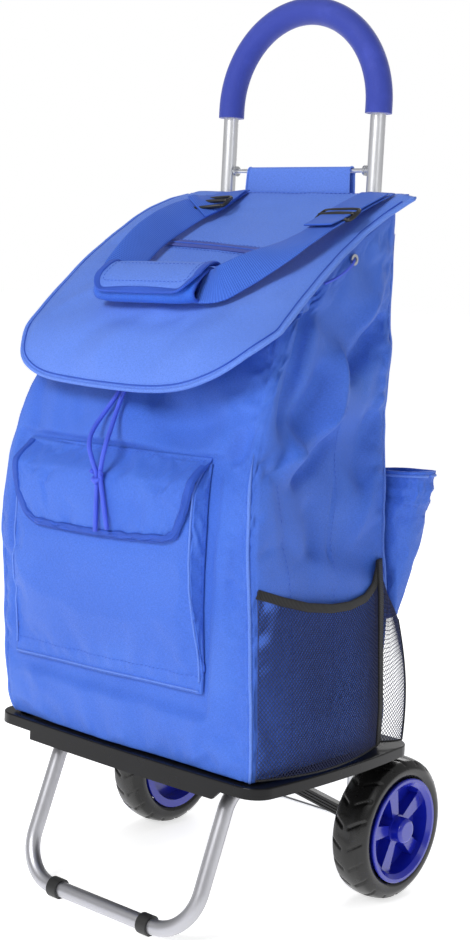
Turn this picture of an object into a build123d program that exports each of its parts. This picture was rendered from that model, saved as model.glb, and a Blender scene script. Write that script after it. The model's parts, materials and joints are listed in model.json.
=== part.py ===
from build123d import *
import os
from math import radians, tan

os.makedirs("parts", exist_ok=True)

# Folding shopping trolley, millimetres.
# +X is the trolley's left-to-right direction seen from the front, -Y is the front, +Z is up.
# The origin is on the ground, in the middle of the footprint.

# Wheels and axle line
WHEEL_RADIUS = 76.0
AXLE_Y = 99.0
AXLE_Z = WHEEL_RADIUS
AXLE_RADIUS = 6.0
RUNNING_GAP = 0.05
RIM_OUTER_X = 183.0
RIM_INNER_X = 138.5
RIM_FLANGE_RADIUS = 55.6
RIM_BARREL_RADIUS = 50.0
RIM_WALL = 3.0
RIM_FLANGE = 2.5
TYRE_MID_X = 159.5
TYRE_HALF_WIDTH = 21.5
TYRE_SHOULDER = 0.75
TYRE_CROWN = 5.5
HUB_RADIUS = 15.0
HUB_END_X = 174.0
BUSH_RADIUS = 9.0
SPOKES = 5
CAP_RADIUS = 13.5
CAP_END_X = 186.5
CAP_ROUND = 4.0

# Handle tube
TUBE_RADIUS = 8.0
TUBE_WALL = 1.2
HANDLE_HALF = 100.0
HANDLE_Y = 87.0
ARCH_Z = 829.0
TUBE_FOOT_Z = 150.0
GRIP_RADIUS = 14.0
GRIP_END_Z = 820.0
ROD_Z = 762.0
ROD_RADIUS = 2.5

# Folding deck
DECK_HALF = 181.7
DECK_SIDE_BOW = 8.3
DECK_FRONT_Y = -151.2
DECK_FRONT_BOW = 4.3
DECK_BACK_Y = 103.7
DECK_CORNER = 24.0
DECK_TOP_Z = 171.3
DECK_SKIRT_Z = 160.0
DECK_SKIN = 3.5
TRAY_HALF = 165.0
TRAY_FRONT_Y = -143.0
TRAY_BACK_Y = 68.0
TRAY_DEPTH = 6.0
TRAY_CORNER = 18.0
NOTCH_HALF = 138.0
NOTCH_Y = 77.0
SKIRT_DEEP_Z = 151.0
SKIRT_LEFT_X = -127.0
SKIRT_RIGHT_X = 138.0
FOLD_Y = HANDLE_Y
FOLD_Z = 188.0
PIN_RADIUS = 3.0
LUG_X = 109.0
LUG_THICKNESS = 3.0
LUG_FRONT_Y = 68.4
LUG_BACK_Y = 76.6

# Base beam, wheel posts and braces
BEAM_HALF = 132.0
BEAM_FRONT_Y = 78.0
BEAM_BACK_Y = 102.0
BEAM_LOW_Z = 146.0
BEAM_TOP_Z = 163.0
BEAM_WALL = 2.0
POST_X = 122.0
POST_Y = 92.0
POST_RADIUS = 5.0
POST_LOW_Z = 62.0
EYE_RADIUS = 8.5
EYE_LOW_Z = 70.0
EYE_TOP_Z = 84.0
KNUCKLE_RADIUS = 10.0
KNUCKLE_GAP = 0.5
PLATE_X = 131.5
PLATE_THICKNESS = 3.0
BRACE_HEIGHT = 13.0
BRACE_DEPTH = 8.0
BRACE_OUTER_Z = 79.0
BRACE_INNER_Z = 96.0
BLOCK_HALF = 10.0
TIE_Y = 98.0
TIE_Z = 72.0
TIE_RADIUS = 2.0

# Front leg
LEG_HALF = 118.0
FOOT_RADIUS = 10.5
FOOT_Z = 10.0
FOOT_Y = -164.5
FOOT_X = 64.0
FOOT_LENGTH = 13.0
LEG_KNEE_Y = -111.0
LEG_PIVOT_Y = -83.0
LEG_PIVOT_Z = 150.0
LEG_KNEE_BEND = 32.0
LEG_FOOT_BEND = 46.0
LEG_EAR_GAP = 0.4
LEG_EAR = 2.0

# Bag
CLOTH = 2.5
BAG_BOTTOM_Z = DECK_TOP_Z - TRAY_DEPTH + 0.4
BAG_CORNER = 26.0
LID_THICKNESS = 3.0
LID_LEFT_X = -172.0
LID_RIGHT_X = 157.0
LID_LIP_Z = 531.0
LID_CORNER = 48.0
LID_CORNER_DROP = 4.0
HINGE_Y = 76.0
HINGE_Z = 736.0
CORD_RADIUS = 2.4
LOOP_CORD_RADIUS = 1.3
CORD_BEND_SHARE = 0.45

pieces = {}


def straight_rod(start, radius, length, axis):
    """A round rod from its start point along +X, +Y or +Z."""
    plane = Plane(origin=start, z_dir=axis)
    with BuildPart() as rod:
        with BuildSketch(plane):
            Circle(radius)
        extrude(amount=length)
    return rod


# ---------------------------------------------------------------- handle frame
with BuildPart() as handle_tube:
    with BuildLine(Plane.XZ.offset(-HANDLE_Y)) as handle_path:
        Line((-HANDLE_HALF, TUBE_FOOT_Z), (-HANDLE_HALF, ARCH_Z))
        CenterArc((0, ARCH_Z), HANDLE_HALF, 180, -180)
        Line((HANDLE_HALF, ARCH_Z), (HANDLE_HALF, TUBE_FOOT_Z))
    with BuildSketch(Plane.XY.offset(TUBE_FOOT_Z)):
        with Locations((-HANDLE_HALF, HANDLE_Y)):
            Circle(TUBE_RADIUS)
            Circle(TUBE_RADIUS - TUBE_WALL, mode=Mode.SUBTRACT)
    sweep(path=handle_path.wire())
    with Locations((0, FOLD_Y, FOLD_Z)):
        Cylinder(PIN_RADIUS, 4 * HANDLE_HALF, rotation=(0, 90, 0), mode=Mode.SUBTRACT)
pieces["handle_tube"] = handle_tube

with BuildPart() as foam_grip:
    with BuildLine(Plane.XZ.offset(-HANDLE_Y)) as grip_path:
        Line((-HANDLE_HALF, GRIP_END_Z), (-HANDLE_HALF, ARCH_Z))
        CenterArc((0, ARCH_Z), HANDLE_HALF, 180, -180)
        Line((HANDLE_HALF, ARCH_Z), (HANDLE_HALF, GRIP_END_Z))
    with BuildSketch(Plane.XY.offset(GRIP_END_Z)):
        with Locations((-HANDLE_HALF, HANDLE_Y)):
            Circle(GRIP_RADIUS)
            Circle(TUBE_RADIUS, mode=Mode.SUBTRACT)
    sweep(path=grip_path.wire())
pieces["foam_grip"] = foam_grip

ROD_HALF = HANDLE_HALF - TUBE_RADIUS
pieces["cross_rod"] = straight_rod((-ROD_HALF, HANDLE_Y, ROD_Z), ROD_RADIUS, 2 * ROD_HALF, (1, 0, 0))

FLANGE_RADIUS = 5.5
FLANGE_THICKNESS = 2.0
with BuildPart() as rod_flanges:
    for side in (-1, 1):
        with Locations((side * (ROD_HALF - 2 * FLANGE_THICKNESS), HANDLE_Y, ROD_Z)):
            Cylinder(FLANGE_RADIUS, FLANGE_THICKNESS, rotation=(0, 90, 0))
            Cylinder(ROD_RADIUS, 2 * FLANGE_THICKNESS, rotation=(0, 90, 0), mode=Mode.SUBTRACT)
pieces["rod_flanges"] = rod_flanges

BEAM_DEPTH = BEAM_BACK_Y - BEAM_FRONT_Y
BEAM_HEIGHT = BEAM_TOP_Z - BEAM_LOW_Z
BEAM_MID_Y = (BEAM_BACK_Y + BEAM_FRONT_Y) / 2
BEAM_MID_Z = (BEAM_TOP_Z + BEAM_LOW_Z) / 2
with BuildPart() as base_beam:
    with Locations((0, BEAM_MID_Y, BEAM_MID_Z)):
        Box(2 * BEAM_HALF, BEAM_DEPTH, BEAM_HEIGHT)
    fillet(base_beam.edges().filter_by(Axis.Z), 4)
    with Locations((0, BEAM_MID_Y, BEAM_MID_Z - BEAM_WALL)):
        Box(2 * (LUG_X - 1), BEAM_DEPTH - 2 * BEAM_WALL, BEAM_HEIGHT, mode=Mode.SUBTRACT)
    with Locations((-HANDLE_HALF, HANDLE_Y, BEAM_TOP_Z), (HANDLE_HALF, HANDLE_Y, BEAM_TOP_Z)):
        Cylinder(TUBE_RADIUS, 2 * (BEAM_TOP_Z - TUBE_FOOT_Z), mode=Mode.SUBTRACT)
pieces["base_beam"] = base_beam

for side, word in ((-1, "left"), (1, "right")):
    post_start = (side * POST_X, POST_Y, POST_LOW_Z)
    pieces[f"wheel_post_{word}"] = straight_rod(post_start, POST_RADIUS, BEAM_LOW_Z - POST_LOW_Z, (0, 0, 1))

NUT_SIZE = 8.0
with BuildPart() as post_nuts:
    with BuildSketch(Plane.XY.offset(POST_LOW_Z)):
        with Locations((-POST_X, POST_Y), (POST_X, POST_Y)):
            RegularPolygon(NUT_SIZE, 6)
            Circle(POST_RADIUS, mode=Mode.SUBTRACT)
    extrude(amount=EYE_LOW_Z - POST_LOW_Z - 1)
pieces["post_nuts"] = post_nuts


def brace(side):
    """One sloping ribbed bar from the post's eye to the centre block."""
    inner = (side * BLOCK_HALF, BRACE_INNER_Z)
    outer = (side * (POST_X - KNUCKLE_RADIUS - 1), BRACE_OUTER_Z)
    half = BRACE_HEIGHT / 2
    groove = 1.2
    with BuildPart() as bar:
        with BuildSketch(Plane.XZ.offset(-POST_Y)):
            with BuildLine():
                Polyline(
                    (inner[0], inner[1] - half),
                    (outer[0], outer[1] - half),
                    (outer[0], outer[1] + half),
                    (inner[0], inner[1] + half),
                    close=True,
                )
            make_face()
        extrude(amount=BRACE_DEPTH / 2, both=True)
        with BuildSketch(Plane.XY.offset(EYE_LOW_Z)):
            with Locations((side * POST_X, POST_Y)):
                Circle(EYE_RADIUS)
        extrude(amount=EYE_TOP_Z - EYE_LOW_Z)
        with Locations((side * (POST_X - KNUCKLE_RADIUS), POST_Y, (EYE_TOP_Z + EYE_LOW_Z) / 2)):
            Box(8, BRACE_DEPTH, EYE_TOP_Z - EYE_LOW_Z - 1)
        for face_y in (POST_Y - BRACE_DEPTH / 2, POST_Y + BRACE_DEPTH / 2):
            with BuildSketch(Plane.XZ.offset(-face_y)):
                for step in (-1, 0, 1):
                    lift = step * BRACE_HEIGHT / 4
                    with BuildLine():
                        Polyline(
                            (inner[0], inner[1] + lift - groove / 2),
                            (outer[0] - side * 3, outer[1] + lift - groove / 2),
                            (outer[0] - side * 3, outer[1] + lift + groove / 2),
                            (inner[0], inner[1] + lift + groove / 2),
                            close=True,
                        )
                    make_face()
            extrude(amount=groove, both=True, mode=Mode.SUBTRACT)
        with Locations((side * POST_X, POST_Y, EYE_LOW_Z)):
            Cylinder(POST_RADIUS, 4 * (EYE_TOP_Z - EYE_LOW_Z), mode=Mode.SUBTRACT)
    return bar


pieces["brace_left"] = brace(-1)
pieces["brace_right"] = brace(1)

HANGER_RADIUS = 4.0
with BuildPart() as centre_block:
    with Locations((0, POST_Y, BRACE_INNER_Z)):
        Box(2 * BLOCK_HALF, BRACE_DEPTH + 6, BRACE_HEIGHT + 6)
    fillet(centre_block.edges().filter_by(Axis.Y), 3)
    with BuildSketch(Plane.XY.offset(BRACE_INNER_Z)):
        with Locations((0, POST_Y)):
            Circle(HANGER_RADIUS)
    extrude(amount=BEAM_TOP_Z - BEAM_WALL - BRACE_INNER_Z)
pieces["centre_hanger"] = centre_block

TIE_HALF = POST_X - 7.6
pieces["tie_rod"] = straight_rod((-TIE_HALF, TIE_Y, TIE_Z), TIE_RADIUS, 2 * TIE_HALF, (1, 0, 0))

PIN_INNER_X = HANDLE_HALF - TUBE_RADIUS - 2
PIN_HEAD_RADIUS = 5.0
PIN_HEAD = 2.5
for side, word in ((-1, "left"), (1, "right")):
    head_x = LUG_X + LUG_THICKNESS + 0.3
    with BuildPart() as fold_pin:
        with BuildSketch(Plane.YZ.offset(side * PIN_INNER_X)):
            with Locations((FOLD_Y, FOLD_Z)):
                Circle(PIN_RADIUS)
        extrude(amount=side * (head_x - PIN_INNER_X))
        with BuildSketch(Plane.YZ.offset(side * head_x)):
            with Locations((FOLD_Y, FOLD_Z)):
                Circle(PIN_HEAD_RADIUS)
        extrude(amount=side * PIN_HEAD)
    pieces[f"fold_pin_{word}"] = fold_pin

# ---------------------------------------------------------------- folding deck
def deck_outline(inset):
    """The deck's plan, drawn in by the inset: bowed front and sides, rounded corners."""
    half = DECK_HALF - inset
    front_y = DECK_FRONT_Y + inset
    back_y = DECK_BACK_Y - inset
    with BuildSketch(mode=Mode.PRIVATE) as plan:
        with BuildLine():
            ThreePointArc((-half, front_y), (0, front_y - DECK_FRONT_BOW), (half, front_y))
            ThreePointArc((half, front_y), (half + DECK_SIDE_BOW, (front_y + back_y) / 2), (half, back_y))
            Line((half, back_y), (-half, back_y))
            ThreePointArc((-half, back_y), (-half - DECK_SIDE_BOW, (front_y + back_y) / 2), (-half, front_y))
        make_face()
        fillet(plan.vertices(), DECK_CORNER - inset)
    return plan.sketch


TRAY_LENGTH = TRAY_BACK_Y - TRAY_FRONT_Y
TRAY_MID_Y = (TRAY_BACK_Y + TRAY_FRONT_Y) / 2
FLOOR_TOP_Z = DECK_TOP_Z - TRAY_DEPTH
FLOOR_LOW_Z = FLOOR_TOP_Z - DECK_SKIN
with BuildPart() as front_skirt:
    with BuildSketch(Plane.XY.offset(SKIRT_DEEP_Z)):
        add(deck_outline(0))
        add(deck_outline(DECK_SKIN), mode=Mode.SUBTRACT)
    extrude(amount=DECK_SKIRT_Z - SKIRT_DEEP_Z)
    with BuildSketch(Plane.XZ.offset(-DECK_FRONT_Y - 40)):
        with BuildLine():
            Polyline(
                (SKIRT_LEFT_X, SKIRT_DEEP_Z),
                (SKIRT_RIGHT_X - 9, SKIRT_DEEP_Z),
                (SKIRT_RIGHT_X, DECK_SKIRT_Z),
                (SKIRT_LEFT_X, DECK_SKIRT_Z),
                close=True,
            )
        make_face()
    extrude(amount=80, mode=Mode.INTERSECT)

with BuildPart() as deck_tray:
    with BuildSketch(Plane.XY.offset(DECK_SKIRT_Z)):
        add(deck_outline(0))
    extrude(amount=DECK_TOP_Z - DECK_SKIRT_Z)
    top_edges = deck_tray.faces().sort_by(Axis.Z)[-1].edges()
    fillet(top_edges, 1.5)
    with BuildSketch(Plane.XY.offset(DECK_SKIRT_Z)):
        add(deck_outline(DECK_SKIN))
    extrude(amount=FLOOR_LOW_Z - DECK_SKIRT_Z, mode=Mode.SUBTRACT)
    with BuildSketch(Plane.XY.offset(FLOOR_LOW_Z)):
        add(deck_outline(DECK_SKIN))
        with Locations((0, TRAY_MID_Y)):
            RectangleRounded(
                2 * (TRAY_HALF + DECK_SKIN),
                TRAY_LENGTH + 2 * DECK_SKIN,
                TRAY_CORNER + DECK_SKIN,
                mode=Mode.SUBTRACT,
            )
    extrude(amount=DECK_TOP_Z - DECK_SKIN - FLOOR_LOW_Z, mode=Mode.SUBTRACT)
    with BuildSketch(Plane.XY.offset(FLOOR_TOP_Z)):
        with Locations((0, TRAY_MID_Y)):
            RectangleRounded(2 * TRAY_HALF, TRAY_LENGTH, TRAY_CORNER)
    extrude(amount=TRAY_DEPTH, mode=Mode.SUBTRACT)
    add(front_skirt.part)
    with Locations((0, NOTCH_Y, DECK_SKIRT_Z)):
        Box(
            2 * NOTCH_HALF,
            2 * (DECK_BACK_Y - NOTCH_Y),
            4 * TRAY_DEPTH,
            align=(Align.CENTER, Align.MIN, Align.CENTER),
            mode=Mode.SUBTRACT,
        )
    with Locations((0, (LUG_FRONT_Y + NOTCH_Y) / 2, DECK_TOP_Z)):
        for side in (-1, 1):
            with Locations((side * (LUG_X + LUG_THICKNESS / 2), 0, 0)):
                Box(LUG_THICKNESS + 0.4, NOTCH_Y - LUG_FRONT_Y + 0.4, 60, mode=Mode.SUBTRACT)
pieces["deck_tray"] = deck_tray


LUG_SCREW_Y = 48.0
LUG_SCREW_STEP = 12.0
SCREW_RADIUS = 2.0


def deck_lug(side):
    """The steel bracket that hangs the deck on its fold pin."""
    with BuildPart() as lug:
        with BuildSketch(Plane.YZ.offset(side * LUG_X)):
            with BuildLine():
                Polyline(
                    (LUG_FRONT_Y, FLOOR_LOW_Z - LUG_THICKNESS),
                    (LUG_BACK_Y, FLOOR_LOW_Z - LUG_THICKNESS),
                    (LUG_BACK_Y, DECK_TOP_Z + 2),
                    (FOLD_Y + 7, FOLD_Z - 4),
                    (FOLD_Y - 4, FOLD_Z + 7),
                    (LUG_FRONT_Y, DECK_TOP_Z + 6),
                    close=True,
                )
            make_face()
            with Locations((FOLD_Y, FOLD_Z)):
                Circle(8)
                Circle(PIN_RADIUS + RUNNING_GAP, mode=Mode.SUBTRACT)
        extrude(amount=side * LUG_THICKNESS)
        with BuildSketch(Plane.XY.offset(FLOOR_LOW_Z - LUG_THICKNESS)):
            with Locations((side * (LUG_X + LUG_THICKNESS - 9), (LUG_BACK_Y + LUG_SCREW_Y - 15) / 2)):
                Rectangle(18, LUG_BACK_Y - LUG_SCREW_Y + 15)
        extrude(amount=LUG_THICKNESS - 0.1)
        with Locations((side * (LUG_X - 6), LUG_SCREW_Y, FLOOR_LOW_Z)):
            Cylinder(SCREW_RADIUS, 20, mode=Mode.SUBTRACT)
        with Locations((side * (LUG_X - 6), LUG_SCREW_Y + LUG_SCREW_STEP, FLOOR_LOW_Z)):
            Cylinder(SCREW_RADIUS, 20, mode=Mode.SUBTRACT)
    return lug


pieces["deck_lug_left"] = deck_lug(-1)
pieces["deck_lug_right"] = deck_lug(1)

SCREW_HEAD_RADIUS = 4.0
with BuildPart() as lug_screws:
    for side in (-1, 1):
        for screw_y in (LUG_SCREW_Y, LUG_SCREW_Y + LUG_SCREW_STEP):
            with Locations((side * (LUG_X - 6), screw_y, FLOOR_LOW_Z - LUG_THICKNESS)):
                Cylinder(SCREW_HEAD_RADIUS, 2, align=(Align.CENTER, Align.CENTER, Align.MAX))
                Cylinder(SCREW_RADIUS, LUG_THICKNESS - 0.1, align=(Align.CENTER, Align.CENTER, Align.MIN))
pieces["lug_screws"] = lug_screws


def leg_bracket(side):
    """A clevis under the deck: two ears and the plate that joins them."""
    ear_x = LEG_HALF - TUBE_RADIUS - LEG_EAR_GAP
    ear_low = LEG_PIVOT_Z - 8
    span = 2 * (TUBE_RADIUS + LEG_EAR_GAP + LEG_EAR)
    with BuildPart() as bracket:
        for start in (ear_x - LEG_EAR, ear_x + 2 * (TUBE_RADIUS + LEG_EAR_GAP)):
            with BuildSketch(Plane.YZ.offset(side * start)):
                with Locations((LEG_PIVOT_Y + 4, (FLOOR_LOW_Z + ear_low) / 2)):
                    Rectangle(22, FLOOR_LOW_Z - ear_low - 0.2)
            extrude(amount=side * LEG_EAR)
        with Locations((side * LEG_HALF, LEG_PIVOT_Y + 20, FLOOR_LOW_Z - 0.1)):
            Box(span, 12, LEG_EAR, align=(Align.CENTER, Align.CENTER, Align.MAX))
        with Locations((side * LEG_HALF, LEG_PIVOT_Y, LEG_PIVOT_Z)):
            Cylinder(PIN_RADIUS + RUNNING_GAP, 2 * span, rotation=(0, 90, 0), mode=Mode.SUBTRACT)
    return bracket


pieces["leg_bracket_left"] = leg_bracket(-1)
pieces["leg_bracket_right"] = leg_bracket(1)

# ---------------------------------------------------------------- front leg
with BuildPart() as front_leg:
    with BuildLine() as leg_path:
        FilletPolyline(
            (-LEG_HALF, LEG_PIVOT_Y + 6, LEG_PIVOT_Z),
            (-LEG_HALF, LEG_KNEE_Y, LEG_PIVOT_Z),
            (-LEG_HALF, FOOT_Y, FOOT_Z),
            (LEG_HALF, FOOT_Y, FOOT_Z),
            (LEG_HALF, LEG_KNEE_Y, LEG_PIVOT_Z),
            (LEG_HALF, LEG_PIVOT_Y + 6, LEG_PIVOT_Z),
            radius=[LEG_KNEE_BEND, LEG_FOOT_BEND, LEG_FOOT_BEND, LEG_KNEE_BEND],
        )
    with BuildSketch(Plane(origin=(-LEG_HALF, LEG_PIVOT_Y + 6, LEG_PIVOT_Z), z_dir=(0, -1, 0))):
        Circle(TUBE_RADIUS)
        Circle(TUBE_RADIUS - TUBE_WALL, mode=Mode.SUBTRACT)
    sweep(path=leg_path.wire())
    with Locations((0, LEG_PIVOT_Y, LEG_PIVOT_Z)):
        Cylinder(PIN_RADIUS, 4 * LEG_HALF, rotation=(0, 90, 0), mode=Mode.SUBTRACT)
pieces["front_leg"] = front_leg

with BuildPart() as foot_caps:
    for side in (-1, 1):
        with Locations((side * FOOT_X, FOOT_Y, FOOT_Z)):
            Cylinder(FOOT_RADIUS, FOOT_LENGTH, rotation=(0, 90, 0))
            Cylinder(TUBE_RADIUS, 2 * FOOT_LENGTH, rotation=(0, 90, 0), mode=Mode.SUBTRACT)
    with Locations((0, FOOT_Y, 0)):
        Box(4 * LEG_HALF, 40, 20, align=(Align.CENTER, Align.CENTER, Align.MAX), mode=Mode.SUBTRACT)
pieces["foot_caps"] = foot_caps

with BuildPart() as leg_pins:
    for side in (-1, 1):
        with Locations((side * LEG_HALF, LEG_PIVOT_Y, LEG_PIVOT_Z)):
            Cylinder(PIN_RADIUS, 2 * (TUBE_RADIUS + LEG_EAR_GAP + LEG_EAR) + 1, rotation=(0, 90, 0))
pieces["leg_pins"] = leg_pins


# ---------------------------------------------------------------- wheel carriers and wheels
AXLE_PLANE = Plane(origin=(0, AXLE_Y, AXLE_Z))
AXLE_LINE = Axis((0, AXLE_Y, AXLE_Z), (1, 0, 0))
PUSH_NUT_RADIUS = 8.5
PUSH_NUT = 2.0
AXLE_END_X = HUB_END_X + 4
WEB_X = 160.0
SPOKE_RISE = 14.0


def wheel_bracket(side):
    """Knuckle on the post and the plate that carries the axle."""
    top_z = BEAM_LOW_Z - KNUCKLE_GAP
    with BuildPart() as bracket:
        with BuildSketch(Plane.XY.offset(EYE_TOP_Z + KNUCKLE_GAP)):
            with Locations((side * POST_X, POST_Y)):
                Circle(KNUCKLE_RADIUS)
        extrude(amount=top_z - EYE_TOP_Z - KNUCKLE_GAP)
        with BuildSketch(Plane.YZ.offset(side * PLATE_X)):
            with BuildLine():
                Polyline(
                    (POST_Y - 24, top_z),
                    (POST_Y - 24, 124),
                    (POST_Y - 5, EYE_TOP_Z),
                    (POST_Y - 5, POST_LOW_Z),
                    (POST_Y + 19, POST_LOW_Z),
                    (POST_Y + 22, top_z),
                    close=True,
                )
            make_face()
        extrude(amount=side * PLATE_THICKNESS)
        with Locations((side * POST_X, POST_Y, BEAM_LOW_Z)):
            Cylinder(POST_RADIUS + RUNNING_GAP, 4 * BEAM_LOW_Z, mode=Mode.SUBTRACT)
        with Locations((side * PLATE_X, AXLE_Y, AXLE_Z)):
            Cylinder(AXLE_RADIUS, 4 * PLATE_THICKNESS, rotation=(0, 90, 0), mode=Mode.SUBTRACT)
    return bracket


def turned(side, outline):
    """A ring turned about the axle line from (x, radius) points."""
    with BuildPart() as ring:
        with BuildSketch(AXLE_PLANE):
            with BuildLine():
                Polyline(*[(side * x, radius) for x, radius in outline], close=True)
            make_face()
        revolve(axis=AXLE_LINE)
    return ring


def wheel_rim(side):
    """Barrel with two flanges, a web, five tapered spokes and a hub."""
    inner_wall = RIM_BARREL_RADIUS - RIM_WALL
    outline = [
        (RIM_INNER_X, RIM_FLANGE_RADIUS),
        (RIM_INNER_X + RIM_FLANGE, RIM_FLANGE_RADIUS),
        (RIM_INNER_X + RIM_FLANGE, RIM_BARREL_RADIUS),
        (RIM_OUTER_X - RIM_FLANGE, RIM_BARREL_RADIUS),
        (RIM_OUTER_X - RIM_FLANGE, RIM_FLANGE_RADIUS),
        (RIM_OUTER_X - 0.8, RIM_FLANGE_RADIUS),
        (RIM_OUTER_X, RIM_FLANGE_RADIUS - 1),
        (RIM_OUTER_X, RIM_FLANGE_RADIUS - 4),
        (RIM_OUTER_X - 4, inner_wall),
        (WEB_X + 2, inner_wall - 1),
        (WEB_X, HUB_RADIUS),
        (HUB_END_X, HUB_RADIUS),
        (HUB_END_X, BUSH_RADIUS),
        (RIM_INNER_X, BUSH_RADIUS),
        (RIM_INNER_X, HUB_RADIUS),
        (WEB_X - RIM_WALL, HUB_RADIUS),
        (WEB_X - RIM_WALL, inner_wall),
        (RIM_INNER_X, inner_wall),
    ]
    with BuildPart() as rim:
        with BuildSketch(AXLE_PLANE):
            with BuildLine():
                Polyline(*[(side * x, radius) for x, radius in outline], close=True)
            make_face()
        revolve(axis=AXLE_LINE)
        for number in range(SPOKES):
            spoke_plane = Plane(
                origin=(side * (WEB_X - 1), AXLE_Y, AXLE_Z),
                x_dir=Vector(0, 0, 1).rotate(Axis.X, 360 * number / SPOKES + 14),
                z_dir=(side, 0, 0),
            )
            with BuildSketch(spoke_plane):
                with BuildLine():
                    Polyline(
                        (HUB_RADIUS - 2, -5),
                        (inner_wall + 1.5, -8.5),
                        (inner_wall + 1.5, 8.5),
                        (HUB_RADIUS - 2, 5),
                        close=True,
                    )
                make_face()
            extrude(amount=SPOKE_RISE)
        with Locations((side * RIM_OUTER_X, AXLE_Y, AXLE_Z)):
            Cylinder(BUSH_RADIUS, 2 * RIM_OUTER_X, rotation=(0, 90, 0), mode=Mode.SUBTRACT)
    return rim


def tyre(side):
    """A crowned solid tyre round the rim's barrel."""
    bead_low = RIM_INNER_X + RIM_FLANGE
    bead_high = RIM_OUTER_X - RIM_FLANGE
    with BuildPart() as ring:
        with BuildSketch(AXLE_PLANE):
            with BuildLine():
                Polyline(
                    (side * (TYRE_MID_X - TYRE_HALF_WIDTH), RIM_FLANGE_RADIUS + 6),
                    (side * (TYRE_MID_X - TYRE_HALF_WIDTH), RIM_FLANGE_RADIUS + 0.2),
                    (side * bead_low, RIM_FLANGE_RADIUS + 0.2),
                    (side * bead_low, RIM_BARREL_RADIUS),
                    (side * bead_high, RIM_BARREL_RADIUS),
                    (side * bead_high, RIM_FLANGE_RADIUS + 0.2),
                    (side * (TYRE_MID_X + TYRE_HALF_WIDTH), RIM_FLANGE_RADIUS + 0.2),
                    (side * (TYRE_MID_X + TYRE_HALF_WIDTH), RIM_FLANGE_RADIUS + 6),
                )
                ThreePointArc(
                    (side * (TYRE_MID_X + TYRE_HALF_WIDTH), RIM_FLANGE_RADIUS + 6),
                    (side * (TYRE_MID_X + 0.94 * TYRE_HALF_WIDTH), WHEEL_RADIUS - 9.5),
                    (side * (TYRE_MID_X + TYRE_SHOULDER * TYRE_HALF_WIDTH), WHEEL_RADIUS - TYRE_CROWN),
                )
                ThreePointArc(
                    (side * (TYRE_MID_X + TYRE_SHOULDER * TYRE_HALF_WIDTH), WHEEL_RADIUS - TYRE_CROWN),
                    (side * TYRE_MID_X, WHEEL_RADIUS),
                    (side * (TYRE_MID_X - TYRE_SHOULDER * TYRE_HALF_WIDTH), WHEEL_RADIUS - TYRE_CROWN),
                )
                ThreePointArc(
                    (side * (TYRE_MID_X - TYRE_SHOULDER * TYRE_HALF_WIDTH), WHEEL_RADIUS - TYRE_CROWN),
                    (side * (TYRE_MID_X - 0.94 * TYRE_HALF_WIDTH), WHEEL_RADIUS - 9.5),
                    (side * (TYRE_MID_X - TYRE_HALF_WIDTH), RIM_FLANGE_RADIUS + 6),
                )
            make_face()
        revolve(axis=AXLE_LINE)
    return ring


def hub_cap(side):
    """A domed cap over the end of the axle."""
    with BuildPart() as cap:
        with BuildSketch(AXLE_PLANE):
            with BuildLine():
                Polyline(
                    (side * CAP_END_X, CAP_RADIUS - CAP_ROUND),
                    (side * CAP_END_X, 0),
                    (side * (AXLE_END_X + 2), 0),
                    (side * (AXLE_END_X + 2), PUSH_NUT_RADIUS + 1),
                    (side * HUB_END_X, PUSH_NUT_RADIUS + 1),
                    (side * HUB_END_X, CAP_RADIUS),
                    (side * (CAP_END_X - CAP_ROUND), CAP_RADIUS),
                )
                ThreePointArc(
                    (side * (CAP_END_X - CAP_ROUND), CAP_RADIUS),
                    (side * (CAP_END_X - 0.3 * CAP_ROUND), CAP_RADIUS - 0.3 * CAP_ROUND),
                    (side * CAP_END_X, CAP_RADIUS - CAP_ROUND),
                )
            make_face()
        revolve(axis=AXLE_LINE)
    return cap


for side, word in ((-1, "left"), (1, "right")):
    axle_start = (side * PLATE_X, AXLE_Y, AXLE_Z)
    pieces[f"wheel_bracket_{word}"] = wheel_bracket(side)
    pieces[f"axle_{word}"] = straight_rod(axle_start, AXLE_RADIUS, AXLE_END_X - PLATE_X, (side, 0, 0))
    spacer = [
        (PLATE_X + PLATE_THICKNESS, AXLE_RADIUS),
        (RIM_INNER_X - 0.3, AXLE_RADIUS),
        (RIM_INNER_X - 0.3, BUSH_RADIUS + 2),
        (PLATE_X + PLATE_THICKNESS, BUSH_RADIUS + 2),
    ]
    pieces[f"axle_spacer_{word}"] = turned(side, spacer)
    push_nut = [
        (HUB_END_X + 0.3, AXLE_RADIUS),
        (HUB_END_X + 0.3 + PUSH_NUT, AXLE_RADIUS),
        (HUB_END_X + 0.3 + PUSH_NUT, PUSH_NUT_RADIUS - 1.5),
        (HUB_END_X + 0.3, PUSH_NUT_RADIUS),
    ]
    pieces[f"push_nut_{word}"] = turned(side, push_nut)
    bush = [
        (RIM_INNER_X, AXLE_RADIUS + RUNNING_GAP),
        (HUB_END_X, AXLE_RADIUS + RUNNING_GAP),
        (HUB_END_X, BUSH_RADIUS),
        (RIM_INNER_X, BUSH_RADIUS),
    ]
    pieces[f"hub_bush_{word}"] = turned(side, bush)
    pieces[f"wheel_rim_{word}"] = wheel_rim(side)
    pieces[f"tyre_{word}"] = tyre(side)
    pieces[f"hub_cap_{word}"] = hub_cap(side)

# ---------------------------------------------------------------- bag body and pockets
# Sections of the bag: height, left x, right x, front y, back y.
BAG_SECTIONS = [
    (BAG_BOTTOM_Z, -163, 162, -140, 66),
    (270, -176, 160, -147, 70),
    (380, -184, 155, -149, 73),
    (460, -182, 150, -144, 74),
    (540, -170, 148, -120, 74),
    (640, -158, 146, -64, 74),
    (745, -146, 144, -8, 74),
]
MOUTH_LINE = [(110, 733), (76, 722), (-1, 676), (-48, 645), (-91, 614), (-220, 522), (-220, 900), (110, 900)]


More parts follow.
